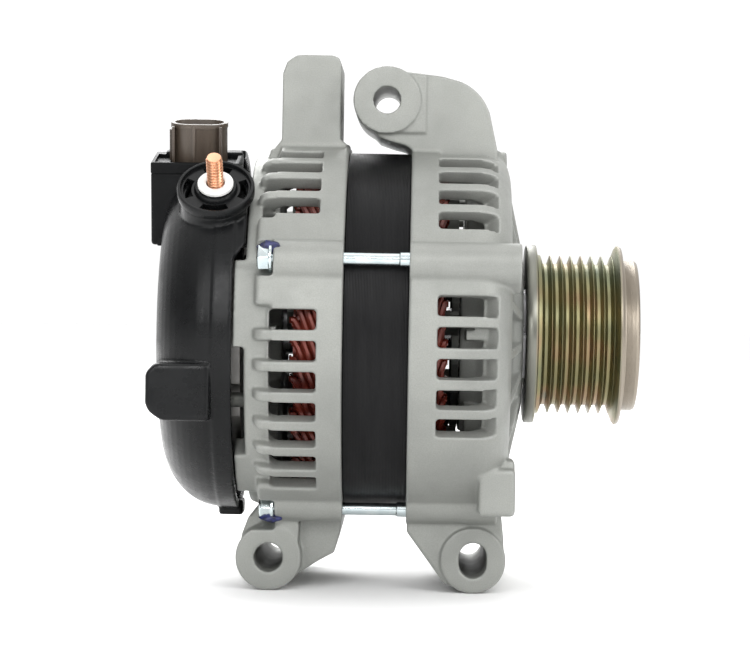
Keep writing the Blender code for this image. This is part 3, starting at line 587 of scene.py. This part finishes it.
def end_windows(stations, radii, count, width):
    middles = [360 / count * (k + 0.5) for k in range(count)]
    return gathered("openings", [
        along_x("opening", sector(radii, (m - width / 2, m + width / 2), 8), *stations) for m in middles
    ])


def cross_rod(centre, radius, low, high, segments=64):
    return rod("cross", low, high, radius, segments, (centre[0], 0, centre[1]), (0, 1, 0))


def bolt_bosses(low, high, radius, circle, angles=BOLT_ANGLES):
    pieces = [rod("boss", low, high, radius, 40, bolt_axis(a, circle)) for a in angles]
    pieces += [
        radial_block("foot", (low + 0.01, high - 0.01), (54.0, circle), (-radius * 0.985, radius * 0.985), a)
        for a in angles
    ]
    return pieces


def drive_end_bracket():
    """Front casting: windows with channels to the face, ear, slotted lug and ribbed hub."""
    rim = CORE_HIGH
    case = turned("drive_end_bracket_cast", [
        (rim, 0), (rim, CASE_RADIUS - 0.6), (rim + 0.6, CASE_RADIUS), (20.0, CASE_RADIUS),
        *arc((20.0, 54.0), 11.0, 75, 20, 5), (FRONT_FACE + 0.9, 54.5), (FRONT_FACE + 0.9, 52.0),
        (FRONT_FACE, 51.0), (FRONT_FACE, 37.0), (FRONT_FACE + 2.2, 31.5), (HUB_FACE - 0.5, 28.8),
        (HUB_FACE, 28.0), (HUB_FACE, 0),
    ])
    joined(case, *bolt_bosses(rim + 0.02, 33.8, 7.0, 62.3, BOLT_ANGLES[:1]))
    joined(case, *bolt_bosses(rim + 0.02, 28.1, 7.0, 62.3, BOLT_ANGLES[3:]))
    joined(case, *bolt_bosses(rim + 0.02, 30.9, 7.0, 62.3, BOLT_ANGLES[1:3]))
    channel = ((13.0, 58.4), (22.5, 58.4), (27.8, 64.0), (27.8, 68.0), (13.0, 68.0))
    half = WINDOW_WIDTH / 2
    cut(case, windows((6.5, 21.4), FRONT_ROWS), gathered("channels", [
        extruded("channel", channel, -half, half, lambda u, v, w, a=angle: (u, *across(v, w, a)))
        for angle in window_angles(FRONT_ROWS)
    ]))
    x, z = EAR
    web = [(x, z + 10.7), (7.5, 87.8), (13.0, 86.3), *arc((7.0, 70.0), 17.4, 65, 18, 10)]
    web += [(26.4, 62.5), (26.4, 52.0), (rim + 0.4, 52.0), (rim + 0.4, 62.0), (-5.0, 63.9)]
    web += [(-9.5, 65.0), (-14.3, 66.6), *arc(EAR, EAR_RADIUS - 0.8, 235, 120, 10)]
    pad = [(x, z + 10.6), (1.7, z + 8.5), (1.7, z - 11.0), (x - 2.0, z - 11.3)]
    lx, lz = FRONT_LUG
    lug_web = [(rim + 0.4, -52.0), (rim + 0.4, -68.0), (10.6, -85.6)]
    lug_web += [
        *arc(FRONT_LUG, LUG_RADIUS - 0.3, 235, 350, 12), (lx + 10.4, -70.0), (29.5, -60.0), (27.0, -52.0),
    ]
    pieces = [
        along_y("web", web, -20.0, 28.0),
        along_y("pad", pad, -21.0, 26.0),
        cross_rod(EAR, EAR_RADIUS, -22.0, 30.0),
        along_y("web", lug_web, -23.6, 45.0),
        cross_rod(FRONT_LUG, LUG_RADIUS, -25.0, 60.0),
        bevelled(block("stop", (21.2, -45.0, -60.6), (33.6, -20.0, -44.6)), 1.6, 3),
        bevelled(block("neck", (24.0, -42.0, -50.0), (33.4, -20.0, -41.8)), 1.4, 3),
        along_y(
            "shoulder", [(22.0, 46.0), (30.2, 46.0), (30.2, 56.0), (27.6, 63.0), (22.0, 63.0)], -13.0, 13.0,
        ),
    ]
    joined(case, *pieces)
    bore = 23.8
    seat = 14.3
    hollow = turned("hollow", [
        (rim - 2, 0), (rim - 2, CASE_BORE), (17.0, CASE_BORE), (21.5, 58.0), (26.0, 52.0), (26.0, 37.0),
        (20.0, 35.0), (seat, 34.0), (seat, bore), (28.9, bore), (28.9, 19.0), (40.0, 19.0), (40.0, 0),
    ])
    slot = arc((lx, lz + 1.3), 4.7, 0, 180, 16) + arc((lx, lz - 1.3), 4.7, 180, 360, 16)
    rib = ((28.0, 27.0), (HUB_FACE - 0.5, 27.0), (HUB_FACE - 0.5, 30.5), (31.0, 51.0), (28.0, 51.0))
    spokes = [radial_block("spoke", (16.0, 27.0), (33.0, 59.0), (-1.7, 1.7), 45.0 * k) for k in range(8)]
    cut(
        case, hollow, end_windows((22.0, 34.0), (38.0, 50.0), 8, 30.0),
        gathered("holes", [rod("hole", -5.0, 26.0, 2.8, 20, bolt_axis(a)) for a in BOLT_ANGLES]),
        gathered("marks", [rod("mark", 33.2, 36.0, 2.6, 20, bolt_axis(a, 64.0)) for a in BOLT_ANGLES]),
        cross_rod(EAR, 4.65, -30.0, 40.0), along_y("slot", slot, -30.0, 70.0),
    )
    joined(case, gathered("spokes", spokes), gathered("ribs", [
        extruded("rib", rib, -1.5, 1.5, lambda u, v, w, a=20.0 * k - 8.0: (u, *across(v, w, a)))
        for k in range(18)
    ]))
    softened(case, 0.55, 4, 0.3)
    return finish(case, CAST, "root", "drive_end_bracket", slot="cast_aluminium", sharp=None)


def rear_bracket():
    """Rear casting: windows ending in rounded fins, tall arm and round lug."""
    rim = CORE_LOW
    case = turned("rear_bracket_cast", [
        (rim, 0), (rim, CASE_RADIUS - 0.6), (rim - 0.6, CASE_RADIUS), (-47.4, CASE_RADIUS),
        (-48.6, 61.6), (-49.6, 60.8), (REAR_FACE + 1.5, 60.3), (REAR_FACE + 0.4, 59.9),
        (REAR_FACE, 59.5), (REAR_FACE, 26.0), (-60.0, 25.0), (-60.0, 0),
    ])
    lx, lz = REAR_LUG
    lug_web = [(-50.0, -52.0), (-53.5, -60.8), (-56.8, -64.0), (-59.0, -70.0)]
    lug_web += [
        *arc(REAR_LUG, LUG_RADIUS - 0.7, 175, 300, 12), (-33.0, -79.0), (-27.2, -75.8), (-25.2, -68.0),
    ]
    lug_web += [(rim - 0.4, -63.6), (rim - 0.4, -52.0)]
    arm = [(-47.8, 50.0), (-47.8, 88.5), (-46.4, 92.5), (-43.4, 94.6), (-41.0, 95.0), (-31.0, 95.0)]
    arm += [(-28.6, 94.2), (-27.5, 91.5), (-27.4, 50.0)]
    shoulder = [
        (-53.5, 50.0), (-52.0, 60.5), (-47.0, 66.5), (-40.0, 69.0), (-30.0, 67.5), (-25.5, 64.5),
        (-25.5, 50.0),
    ]
    pad = [(lx, lz - 11.1), (-45.0, lz - 9.6), (-39.6, lz - 4.8), (-39.2, lz + 11.5), (-52.0, lz + 11.5)]
    pad += [(lx - 9.0, lz + 6.4)]
    slope = (
        (-40.0, 57.5), (-40.0, 64.85), (-50.2, 64.85), (-52.2, 64.0), (-53.4, 62.4), (-53.8, 60.0),
        (-53.8, 57.5),
    )
    fins = [
        bevelled(extruded("fin", slope, -1.85, 1.85, lambda u, v, w, a=angle: (u, *across(v, w, a))), 0.9, 3)
        for start, count in REAR_ROWS
        for angle in [start + WINDOW_PITCH * (k + 0.5) for k in range(count - 1)]
    ]
    panels = [
        bevelled(along_x("panel", sector((57.0, 64.9), (a - 14.2, a + 14.2), 16), -53.2, -44.0), 1.5, 3)
        for a in BOLT_ANGLES
    ]
    bosses = bolt_bosses(-52.0, rim - 0.02, 7.0, 62.3)
    joined(case, *bosses, gathered("panels", panels), gathered("fins", fins))
    longer = windows((-52.0, -40.0), REAR_ROWS[:1])
    cut(case, windows((-48.5, -33.0), REAR_ROWS), longer)
    pieces = [
        along_y("arm", arm, -15.0, 18.0),
        along_y("shoulder", shoulder, -15.0, 18.0),
        along_y("web", lug_web, -19.0, 45.0),
        along_y("pad", pad, -24.6, 30.0),
        cross_rod(REAR_LUG, LUG_RADIUS, -25.0, 60.0),
        along_x("step", sector((50.0, 60.3), (-5.0, 23.0), 12), -60.4, -55.0),
        along_x("foot", sector((52.0, 60.3), (294.0, 316.0), 12), -60.4, -55.0),
    ]
    joined(case, *pieces)
    hollow = turned("hollow", [
        (-23.0, 0), (-23.0, CASE_BORE), (-45.5, CASE_BORE), (-52.5, 55.0), (-52.5, 27.0),
        (-46.0, 25.0), (-46.0, 19.5), (-59.0, 19.5), (-59.0, 12.0), (-62.0, 12.0), (-62.0, 0),
    ])
    pockets = [rod("pocket", -64.0, BOLT_SEAT, 6.4, 40, bolt_axis(a, BOLT_CIRCLE + 1.2)) for a in BOLT_ANGLES]
    cut(
        case, hollow, end_windows((-61.0, -51.0), (29.0, 48.0), 8, 30.0),
        gathered("pockets", pockets),
        gathered("holes", [rod("hole", -55.0, -20.0, 2.8, 20, bolt_axis(a)) for a in BOLT_ANGLES]),
        gathered("screws", [rod("hole", -62.0, -50.0, 2.9, 20, bolt_axis(a, 54.0)) for a in COVER_SCREWS]),
        cross_rod(REAR_LUG, 4.9, -30.0, 70.0),
    )
    spokes = [radial_block("spoke", (-54.0, -46.5), (26.0, 57.0), (-1.7, 1.7), 45.0 * k) for k in range(8)]
    joined(case, gathered("spokes", spokes))
    softened(case, 0.55, 4, 0.3)
    return finish(case, CAST, "root", "rear_bracket", slot="cast_aluminium", sharp=None)


# ------------------------------------------------------------------ stator and bolts
def stator_core():
    """Stack of sheets: each sheet's edge stands a hair proud of the joint beside it."""
    pitch = 0.5
    count = int((CORE_HIGH - CORE_LOW - 0.6) / pitch)
    profile = [(CORE[0], 49.2), (CORE[0], 59.6), (CORE_LOW + 0.3, 59.6)]
    for k in range(count):
        x = CORE_LOW + 0.3 + pitch * k
        profile += [(x + 0.04, 61.92), (x + pitch * 0.3, 62.0), (x + pitch * 0.8, 62.0)]
    profile += [(CORE_HIGH - 0.3, 61.92), (CORE_HIGH - 0.3, 59.6), (CORE[1], 59.6), (CORE[1], 49.2)]
    core = turned("stator_stack", profile, 180)
    return finish(core, STACK, "root", "stator_core", slot="laminated_steel", sharp=50.0)


def swept(bm, points, width, depth):
    """Flat wire with rounded corners along points, each with its outward direction."""
    rings = []
    for k, point in enumerate(points):
        ahead = points[min(k + 1, len(points) - 1)] - points[max(k - 1, 0)]
        outward = Vector((0, point.y, point.z)).normalized()
        side = ahead.normalized().cross(outward).normalized()
        ring = []
        for turn in range(8):
            swing = math.radians(45.0 * turn + 22.5)
            ring.append(bm.verts.new(
                point + side * (width * math.cos(swing)) + outward * (depth * math.sin(swing))
            ))
        rings.append(ring)
    for ring, following in zip(rings, rings[1:]):
        for k in range(8):
            bm.faces.new((ring[k - 1], ring[k], following[k], following[k - 1]))
    bm.faces.new(rings[0])
    bm.faces.new(rings[-1])


def hairpins(bm, start, end, count=54):
    """Hairpin ends of one side of the winding: slanting legs joined over a crown."""
    pitch = 360.0 / count
    for k in range(count):
        base = pitch * k
        for radius, lean in ((56.3, 1.0), (53.3, -1.0)):
            path = []
            for share, turn in HAIRPIN:
                x = start + (end - start) * share
                path.append(Vector((x, *across(radius, 0, base + lean * turn * pitch))))
            swept(bm, path, 1.25, 0.95)
        crown = [
            Vector((end, *across(56.0 - 0.9 * step, 0, base + 3.6 * pitch))) for step in range(4)
        ]
        for point, lift in zip(crown, (0.0, 0.7, 0.7, 0.0)):
            point.x += math.copysign(lift, end - start)
        swept(bm, crown, 1.1, 0.9)


def stator_winding():
    bm = bmesh.new()
    hairpins(bm, CORE[0] - 0.4, -41.4)
    hairpins(bm, CORE[1] + 0.4, 9.4)
    ends = make("winding_ends", bm)
    finish(ends, WIRE, "root", "stator_winding", slot="enamelled_copper")
    low, high = CORE
    backing = turned("winding_backing", (
        (-41.0, 50.6), (-41.0, 52.0), (low - 0.4, 52.0), (low - 0.4, 50.6),
    ), 96)
    finish(backing, WIRE, "root", slot="enamelled_copper")
    lining = turned("winding_lining", (
        (high + 0.4, 50.6), (high + 0.4, 52.0), (9.0, 52.0), (9.0, 50.6),
    ), 96)
    finish(lining, WIRE, "root", slot="enamelled_copper")


def through_bolts():
    """Hexagon bolts with a washer face, a rolled shank and a shoulder at the thread."""
    low = BOLT_SEAT - 0.3
    for k, angle in enumerate(BOLT_ANGLES):
        axis = bolt_axis(angle)
        bolt = turned("bolt_%d" % (k + 1), [
            (low - 1.2, 0), (low - 1.2, 4.7), (low - 0.9, 5.0), (low - 0.2, 5.0), (low, 4.8), (low, 2.1),
            (CORE_HIGH - 3.4, 2.1), (CORE_HIGH - 3.0, 2.5), (21.6, 2.5), (22.0, 2.1), (22.0, 0),
        ], 40, axis)
        corners = [(low - 5.0, 0), (low - 5.0, 3.5), (low - 4.5, 4.6), (low - 0.8, 4.6), (low - 0.8, 0)]
        head = turned("head", corners, 6, axis)
        joined(bolt, bevelled(head, 0.25, 2))
        finish(bolt, ZINC, "root", "through_bolt_%d" % (k + 1), slot="zinc_steel")
        bm = bmesh.new()
        bmesh.ops.create_icosphere(bm, subdivisions=3, radius=1.0)
        for vert in bm.verts:
            ripple = 1.0 + 0.18 * math.sin(5 * vert.co.x + 3 * vert.co.y) * math.cos(4 * vert.co.z)
            vert.co = Vector((vert.co.x * 3.9 * ripple, vert.co.y * 2.2 * ripple, vert.co.z * 1.5))
        tilt = Matrix.Rotation(math.radians(90.0 + angle), 4, "X")
        share = math.cos(math.radians(angle))
        reach = BOLT_CIRCLE + 4.2 - 1.8 * abs(share)
        place = Matrix.Translation((low - 0.6, *across(reach + 0.3, 2.6 * share, angle)))
        finish(make("witness_mark_%d" % (k + 1), bm, place @ tilt), PAINT, "root", slot="zinc_steel")


# ------------------------------------------------------------------ pulley
def pulley_ring():
    """Seven V-grooves between two flanges, and a turned nose with fine rings."""
    low, high = PULLEY
    pitch, first, crest, floor = 3.56, 44.0, 27.5, 24.6
    profile = [(low, 19.2), (low, 30.3), (low + 0.25, 30.85), (low + 0.8, 31.1), (40.3, 31.1)]
    profile += [(40.75, 30.9), (40.9, 30.4), (41.3, 27.9), (first - 1.62, crest)]
    for k in range(7):
        x = first + pitch * k
        profile += [(x - 0.75, floor + 0.25), (x - 0.5, floor), (x + 0.5, floor), (x + 0.75, floor + 0.25)]
        profile += [(x + 1.68, crest - 0.04), (x + 1.78, crest), (x + 1.88, crest - 0.04)][:3 if k < 6 else 2]
    profile += [(68.2, 30.2), (68.9, 31.15), (69.6, 31.1), (70.3, 30.6), (70.5, 27.0), (70.7, 26.3)]
    for k in range(11):
        x = 71.1 + 0.35 * k
        profile += [(x, 26.15), (x + 0.17, 26.08)]
    profile += [
        *arc((high - 1.0, 25.0), 1.0, 85, 5, 4), (high, 20.6), (high - 0.6, 20.0), (high - 3.0, 20.0),
        (high - 3.0, 19.2),
    ]
    ring = turned("pulley_grooved_ring", profile, 240)
    return finish(ring, YELLOW, "pulley", "pulley_ring", slot="yellow_zinc_steel", sharp=28.0)


# ------------------------------------------------------------------ output terminal
def terminal_place():
    return {"origin": (TERMINAL_STATION, 0, 0), "axis": (0, *across(1, 0, TERMINAL_ANGLE))}


def threaded(name, low, high, radius, pitch, depth, place, segments=40):
    """Rod with a helical thread and a chamfered tip."""
    bm = bmesh.new()
    steps = 6
    rows = int((high - low) / pitch * steps)
    rings = []
    for row in range(rows + 1):
        x = low + (high - low) * row / rows
        ring = []
        for k in range(segments):
            turn = 2 * math.pi * k / segments
            phase = ((x - low) / pitch - k / segments) % 1.0
            fade = min(1.0, (high - x) / (pitch * 1.2) + 0.35)
            reach = radius * min(1.0, 0.86 + (high - x) * 0.16) - depth * abs(2 * phase - 1) * fade
            ring.append(bm.verts.new((x, reach * math.cos(turn), reach * math.sin(turn))))
        rings.append(ring)
    for ring, following in zip(rings, rings[1:]):
        for k in range(segments):
            bm.faces.new((ring[k - 1], ring[k], following[k], following[k - 1]))
    bm.faces.new(rings[0])
    bm.faces.new(rings[-1])
    swing = Vector((1, 0, 0)).rotation_difference(Vector(place["axis"])).to_matrix().to_4x4()
    return make(name, bm, Matrix.Translation(place["origin"]) @ swing)


def terminal():
    place = terminal_place()
    stud = threaded("output_stud", 66.8, 80.2, 2.78, 1.25, 0.62, place)
    finish(stud, COPPER, "root", "terminal_stud", slot="copper_plate", sharp=30.0)
    washer = turned("stud_washer", [
        (67.9, 3.1), (67.9, 5.75), (68.05, 5.9), (69.05, 5.9), (69.3, 5.6), (69.3, 3.4), (69.1, 3.1),
    ], 72, **place)
    finish(washer, WHITE, "root", "terminal_washer", slot="white_plastic")
    collar = turned("stud_collar", [
        (53.0, 5.0), (53.0, 9.4), (64.0, 9.4), (64.0, 12.4), (64.4, 12.85), (65.2, 12.9), (67.0, 12.9),
        (67.5, 12.6), (67.6, 12.2), (67.5, 11.8), (66.3, 11.4), (66.2, 7.3), (67.2, 7.0), (67.6, 6.7),
        (67.6, 5.0),
    ], 96, **place)
    slots = []
    turn_axis = Vector((0, *across(1, 0, TERMINAL_ANGLE)))
    for k in range(4):
        outline = arc((0, 0), 10.9, -27, 27, 6) + arc((0, 0), 8.1, 27, -27, 6)
        bm = bmesh.new()
        lower = [bm.verts.new((62.0, u, v)) for u, v in outline]
        upper = [bm.verts.new((70.0, u, v)) for u, v in outline]
        bm.faces.new(lower)
        bm.faces.new(upper)
        for j in range(len(outline)):
            bm.faces.new((lower[j - 1], lower[j], upper[j], upper[j - 1]))
        swing = Vector((1, 0, 0)).rotation_difference(turn_axis).to_matrix().to_4x4()
        spin = Matrix.Rotation(math.radians(90.0 * k + 45.0), 4, "X")
        slots.append(make("slot", bm, Matrix.Translation(place["origin"]) @ swing @ spin))
    cut(collar, gathered("slots", slots))
    finish(collar, BLACK, "root", "terminal_collar", slot="black_plastic")


# ------------------------------------------------------------------ cover and regulator
def cover_profile(wall, steps=12):
    """Back of the cover as a quarter ellipse, drawn in by the wall for its inside."""
    reach = 20.2 - wall
    rise = 23.9 - wall * 0.6
    base = 61.9 - wall - rise
    turns = [math.radians(90.0 * k / steps) for k in range(steps + 1)]
    return [(-67.2 - reach * math.cos(t), base + rise * math.sin(t)) for t in turns]


def rear_cover():
    """Moulded cover: domed back, stepped skirt, bulge, terminal boss, notch and vents."""
    back = -87.4
    cover = turned("rear_cover_moulding", [
        (back, 0), *cover_profile(0), (-67.15, 62.4), (-60.8, 62.4), (-60.8, 0),
    ])
    outline = (
        (-88.6, -14.0), (-85.6, -10.8), (-67.5, -10.8), (-67.5, -29.6), (-83.4, -29.6), (-87.6, -26.6),
        (-88.6, -24.0),
    )
    bulge = bevelled(along_y("bulge", outline, -62.2, -30.0), 1.3, 4)
    place = terminal_place()
    boss = turned("boss", ((46.0, 0), (46.0, 12.9), (60.0, 12.3), (63.7, 12.1), (63.7, 0)), 72, **place)
    flare = turned("flare", ((38.0, 0), (38.0, 17.0), (52.0, 13.2), (58.0, 12.3), (58.0, 0)), 72, **place)
    side = along_x("side", sector((50.0, 61.6), (22.0, 60.0), 19), -66.0, REAR_FACE - 0.3)
    corner = ((-60.6, 15.0), (-50.0, 15.0), (-50.0, 37.0), (-56.0, 30.5), (-60.6, 23.6))
    tab = bevelled(block("tab", (-68.0, -6.0, -64.6), (-59.6, 6.0, -58.0)), 0.8, 3)
    joined(cover, bulge, boss, flare, side, tab)
    hollow = turned("hollow", [(back + 2.3, 0), *cover_profile(2.3), (-58.0, 59.6), (-58.0, 0)])
    clearance = block("clearance", (REAR_FACE - 0.3, -80.0, -80.0), (-40.0, 80.0, 80.0))
    axes = [bolt_axis(a, 54.0) for a in COVER_SCREWS]
    pads = gathered("pads", [rod("pad", -82.6, -75.0, 6.4, 40, a) for a in axes])
    joined(cut(cover, hollow, clearance, along_y("corner", corner, -80.0, 0.0)), pads)
    notch = radial_block("notch", (-100.0, -50.0), (31.5, 90.0), (-14.5, 8.5), MODULE_ANGLE)
    cut(
        cover, turned("bore", ((40.0, 0), (40.0, 9.9), (70.0, 9.9), (70.0, 0)), 72, **place), notch,
        end_windows((-90.0, -80.0), (16.0, 29.0), 8, 22.0),
        gathered("spots", [rod("spot", -95.0, -82.6, 6.0, 40, a) for a in axes]),
        gathered("holes", [rod("hole", -95.0, -60.0, 2.9, 24, a) for a in axes]),
    )
    softened(cover, 0.5, 5, 0.35)
    return finish(cover, BLACK, "root", "rear_cover", slot="black_plastic", sharp=None)


def oval(centre, half, inset, steps=14):
    half_x, half_t = half[0] - inset, half[1] - inset
    reach = half_x - half_t
    right = arc((centre[0] + reach, centre[1]), half_t, -90, 90, steps)
    return right + arc((centre[0] - reach, centre[1]), half_t, 90, 270, steps)


def regulator():
    """Regulator block with a lip round its top, and the oval socket standing on it."""
    low, high = MODULE
    angle = MODULE_ANGLE
    body = radial_block("body", (low, high), (32.2, 57.6), (-13.6, 7.6), angle)
    bevelled(body, 1.2, 4)
    lip = bevelled(radial_block("lip", (low, high), (57.0, 61.0), (-14.0, 8.0), angle), 0.6, 3)
    wall = bevelled(radial_block("wall", (low + 3.6, high - 0.2), (56.0, 61.8), (3.4, 8.0), angle), 0.6, 3)
    foot = bevelled(radial_block("foot", (low + 2.0, low + 9.0), (32.0, 35.0), (-13.9, -4.0), angle), 0.5, 2)
    joined(body, lip, wall, foot)
    recess = radial_block("recess", (low + 1.2, high - 1.4), (59.8, 64.0), (-12.8, 3.0), angle)
    cut(body, recess)
    body.name = "regulator_block"
    finish(body, BLACK_MATT, "root", "voltage_regulator", slot="black_plastic")
    centre, half = (-75.8, -3.0), (9.8, 6.6)
    shell = along_radius("socket_shell", oval(centre, half, 0.25), 60.0, 73.0, angle)
    rim = along_radius("rim", oval(centre, half, 0.0), 71.8, 73.4, angle)
    ribs = [
        radial_block("rib", (x - 0.45, x + 0.45), (60.2, 72.6), (-10.1, -3.0), angle)
        for x in (-84.2, -77.2, -68.2)
    ]
    ribs += [
        radial_block("rib", (-85.9, -85.0), (60.2, 71.0), (-5.0, -1.0), angle)
    ]
    joined(shell, rim, *ribs)
    cut(shell, along_radius("socket", oval(centre, half, 1.4), 61.6, 80.0, angle))
    bevelled(shell, 0.22, 2, 40.0)
    finish(shell, BROWN, "root", "connector_shell", slot="brown_plastic")


def cover_screws():
    for k, angle in enumerate(COVER_SCREWS):
        axis = bolt_axis(angle, 54.0)
        screw = turned("cover_bolt_%d" % (k + 1), [
            (-84.1, 0), (-84.1, 4.6), (-83.7, 5.2), (-82.9, 5.2), (-82.9, 2.5), (-53.6, 2.5), (-53.6, 0),
        ], 40, axis)
        head = turned("head", ((-87.0, 0), (-87.0, 3.6), (-86.6, 4.3), (-84.0, 4.3), (-84.0, 0)), 6, axis)
        joined(screw, bevelled(head, 0.25, 2))
        # painted shade: the screws take the steel darkened to stand in for shade
        finish(screw, PAINTED_SHADE_STEEL, "root", "cover_screw_%d" % (k + 1), slot="zinc_steel")


# ------------------------------------------------------------------ rotor and carried-over nodes
def fan(name, node, plate, tip, count, lean):
    """Pressed fan: flat plate with curved blades turned up from it."""
    low, high = plate
    disc = turned(name, ((low, 11.8), (low, 38.0), (high, 38.0), (high, 11.8)), 72)
    face = low if tip > high else high
    blades = []
    for k in range(count):
        angle = 360 / count * k + (k % 2) * 4.0
        radii = [34.0 + 12.0 * step / 6 for step in range(7)]
        curve = [lean * ((r - 34.0) / 12.0) ** 1.6 for r in radii]
        outline = [across(r, t - 0.6, angle) for r, t in zip(radii, curve)]
        outline += [across(r, t + 0.6, angle) for r, t in reversed(list(zip(radii, curve)))]
        blades.append(along_x("blade", outline, min(face, tip), max(face, tip)))
    joined(disc, gathered("blades", blades))
    # painted shade: the fans take the steel darkened for the shade inside the casing
    return finish(disc, PAINTED_SHADE_STEEL, "rotor", node, slot="zinc_steel")


def pulley_core():
    """Hub with a recess in its mouth, round the shaft's end."""
    hub = turned("hub_sleeve", [
        (33.3, 8.8), (33.3, 15.1), (33.7, 15.5), (74.1, 15.5), (74.5, 15.1), (74.5, 11.6), (71.0, 11.0),
        (71.0, 8.8),
    ], 96)
    finish(hub, STEEL, "rotor", "pulley_hub", slot="bearing_steel")
    shaft = turned("shaft_turned", [
        (-83.0, 0), (-83.0, 4.0), (-82.5, 4.5), (-61.0, 4.5), (-61.0, 7.2), (-46.5, 7.2), (-46.5, 8.5),
        (72.0, 8.5), (72.6, 8.0), (74.4, 8.0), (75.0, 7.4), (75.0, 0),
    ], 72)
    finish(shaft, STEEL, "rotor", "rotor_shaft", slot="bearing_steel")


def brush_springs():
    """Each spring is a copy of its CAD node's mesh."""
    for k in (1, 2):
        node = "brush_spring_%d" % k
        spring = link("coil_spring_%d" % k, NODES[node].data.copy())
        spring.matrix_world = NODES[node].matrix_world.copy()
        finish(spring, ZINC, "root", node, slot="zinc_steel")
        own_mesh(spring)


def carried_over():
    """Materials for the CAD nodes that are shown as they are."""
    finishes = {
        "laminated_steel": STACK, "enamelled_copper": WIRE, "zinc_steel": ZINC, "bearing_steel": STEEL,
        "rotor_iron": IRON, "yellow_zinc_steel": YELLOW, "plate_aluminium": PLATE, "copper_plate": COPPER,
        "black_plastic": BLACK_MATT, "brown_plastic": BROWN, "white_plastic": WHITE, "carbon": CARBON,
        "cast_aluminium": CAST,
    }
    for entry in frame["record"]["subparts"]:
        node = NODES[entry["node"]]
        for holder in node.material_slots:
            # painted shade: the retainer and diode nodes take the steel darkened for the shade inside the
            # casing
            dull = "retainer" in node.name or "diode" in node.name
            holder.material = PAINTED_SHADE_STEEL if dull else finishes[entry["material_slot"]]


# ------------------------------------------------------------------ stage, lights and camera
def stage():
    floor_level = CAD_BOX[0][2]
    bm = bmesh.new()
    bmesh.ops.create_circle(bm, cap_ends=True, segments=96, radius=8.0)
    mesh = bpy.data.meshes.new("floor")
    bm.to_mesh(mesh)
    bm.free()
    floor = link("floor", mesh)
    floor.location = (0, 0, floor_level)
    s = Shader("floor_paint", (0.95, 0.95, 0.95), 0.9)
    s.surface.inputs["Specular IOR Level"].default_value = 0.1
    floor.data.materials.append(s.material)
    world = bpy.data.worlds.new("studio")
    bpy.context.scene.world = world
    world.use_nodes = True
    tree = world.node_tree
    sky = tree.nodes["Background"]
    sky.inputs["Color"].default_value = (1.0, 1.0, 1.0, 1.0)
    direction = tree.nodes.new("ShaderNodeTexCoord").outputs["Generated"]
    split = tree.nodes.new("ShaderNodeSeparateXYZ")
    fall = tree.nodes.new("ShaderNodeMapRange")
    for name, number in zip(("From Min", "From Max", "To Min", "To Max"), (0.2, 0.85, 0.24, 1.02)):
        fall.inputs[name].default_value = number
    above = tree.nodes.new("ShaderNodeMath")
    above.operation = "MULTIPLY_ADD"
    above.inputs[1].default_value = 1.0
    lifted = tree.nodes.new("ShaderNodeMath")
    lifted.operation = "MAXIMUM"
    tree.links.new(direction, split.inputs["Vector"])
    tree.links.new(split.outputs["Y"], fall.inputs["Value"])
    tree.links.new(split.outputs["Z"], above.inputs[0])
    tree.links.new(fall.outputs["Result"], above.inputs[2])
    tree.links.new(above.outputs[0], lifted.inputs[0])
    tree.links.new(fall.outputs["Result"], lifted.inputs[1])
    tree.links.new(lifted.outputs[0], sky.inputs["Strength"])
    bpy.context.scene.view_settings.view_transform = "Standard"


def light(name, place, target, size, power, colour=(1, 1, 1)):
    lamp = bpy.data.lights.new(name, "AREA")
    lamp.shape = "RECTANGLE"
    lamp.size, lamp.size_y = size
    lamp.energy = power
    lamp.color = colour
    obj = link(name, lamp)
    obj.location = place
    obj.rotation_euler = (Vector(target) - Vector(place)).to_track_quat("-Z", "Y").to_euler()


def lights():
    middle = (-0.08, 0.0, 0.0)
    light("key", (0.32, -0.86, 0.55), middle, (0.6, 0.36), 3.3)
    light("strip", (-0.55, -0.85, 0.33), (-0.15, -0.05, 0.02), (0.06, 0.5), 1.4)
    light("second_strip", (-0.24, -0.95, 0.36), (-0.15, -0.05, 0.02), (0.06, 0.5), 2.1)
    light("top", (-0.05, -0.05, 0.9), middle, (0.8, 0.5), 1.0)
    light("right", (0.75, -0.6, 0.3), middle, (0.25, 0.7), 2.5)
    light("back", (-0.4, 1.2, 0.9), (-0.1, 1.0, -0.09), (1.6, 0.8), 22.0)


def camera():
    """Level view of the near side, square to the shaft."""
    scene = bpy.context.scene
    data = bpy.data.cameras.new("camera")
    distance, height = 0.9, 0.011
    width_at_axis = 0.2625
    data.sensor_width = 36.0
    data.lens = data.sensor_width * distance / width_at_axis
    data.shift_x = -0.0573
    data.shift_y = -0.0367
    obj = link("camera", data)
    obj.location = (-SHAFT_END * MM, -distance, height)
    level = Euler((math.radians(90.0), 0, 0)).to_matrix()
    roll = Matrix.Rotation(math.radians(1.0), 3, "Z")
    obj.rotation_euler = (level @ roll).to_euler()
    scene.camera = obj


# ------------------------------------------------------------------ build
stage()
lights()
camera()
carried_over()
drive_end_bracket()
rear_bracket()
stator_core()
stator_winding()
through_bolts()
pulley_ring()
terminal()
rear_cover()
regulator()
cover_screws()
brush_springs()
fan("front_fan_pressing", "front_fan", (6.3, 7.5), 13.8, 10, 7.0)
fan("rear_fan_pressing", "rear_fan", (-35.5, -34.3), -43.5, 12, 7.0)
pulley_core()


def rows(box):
    return [[float(v) for v in corner] for corner in box]
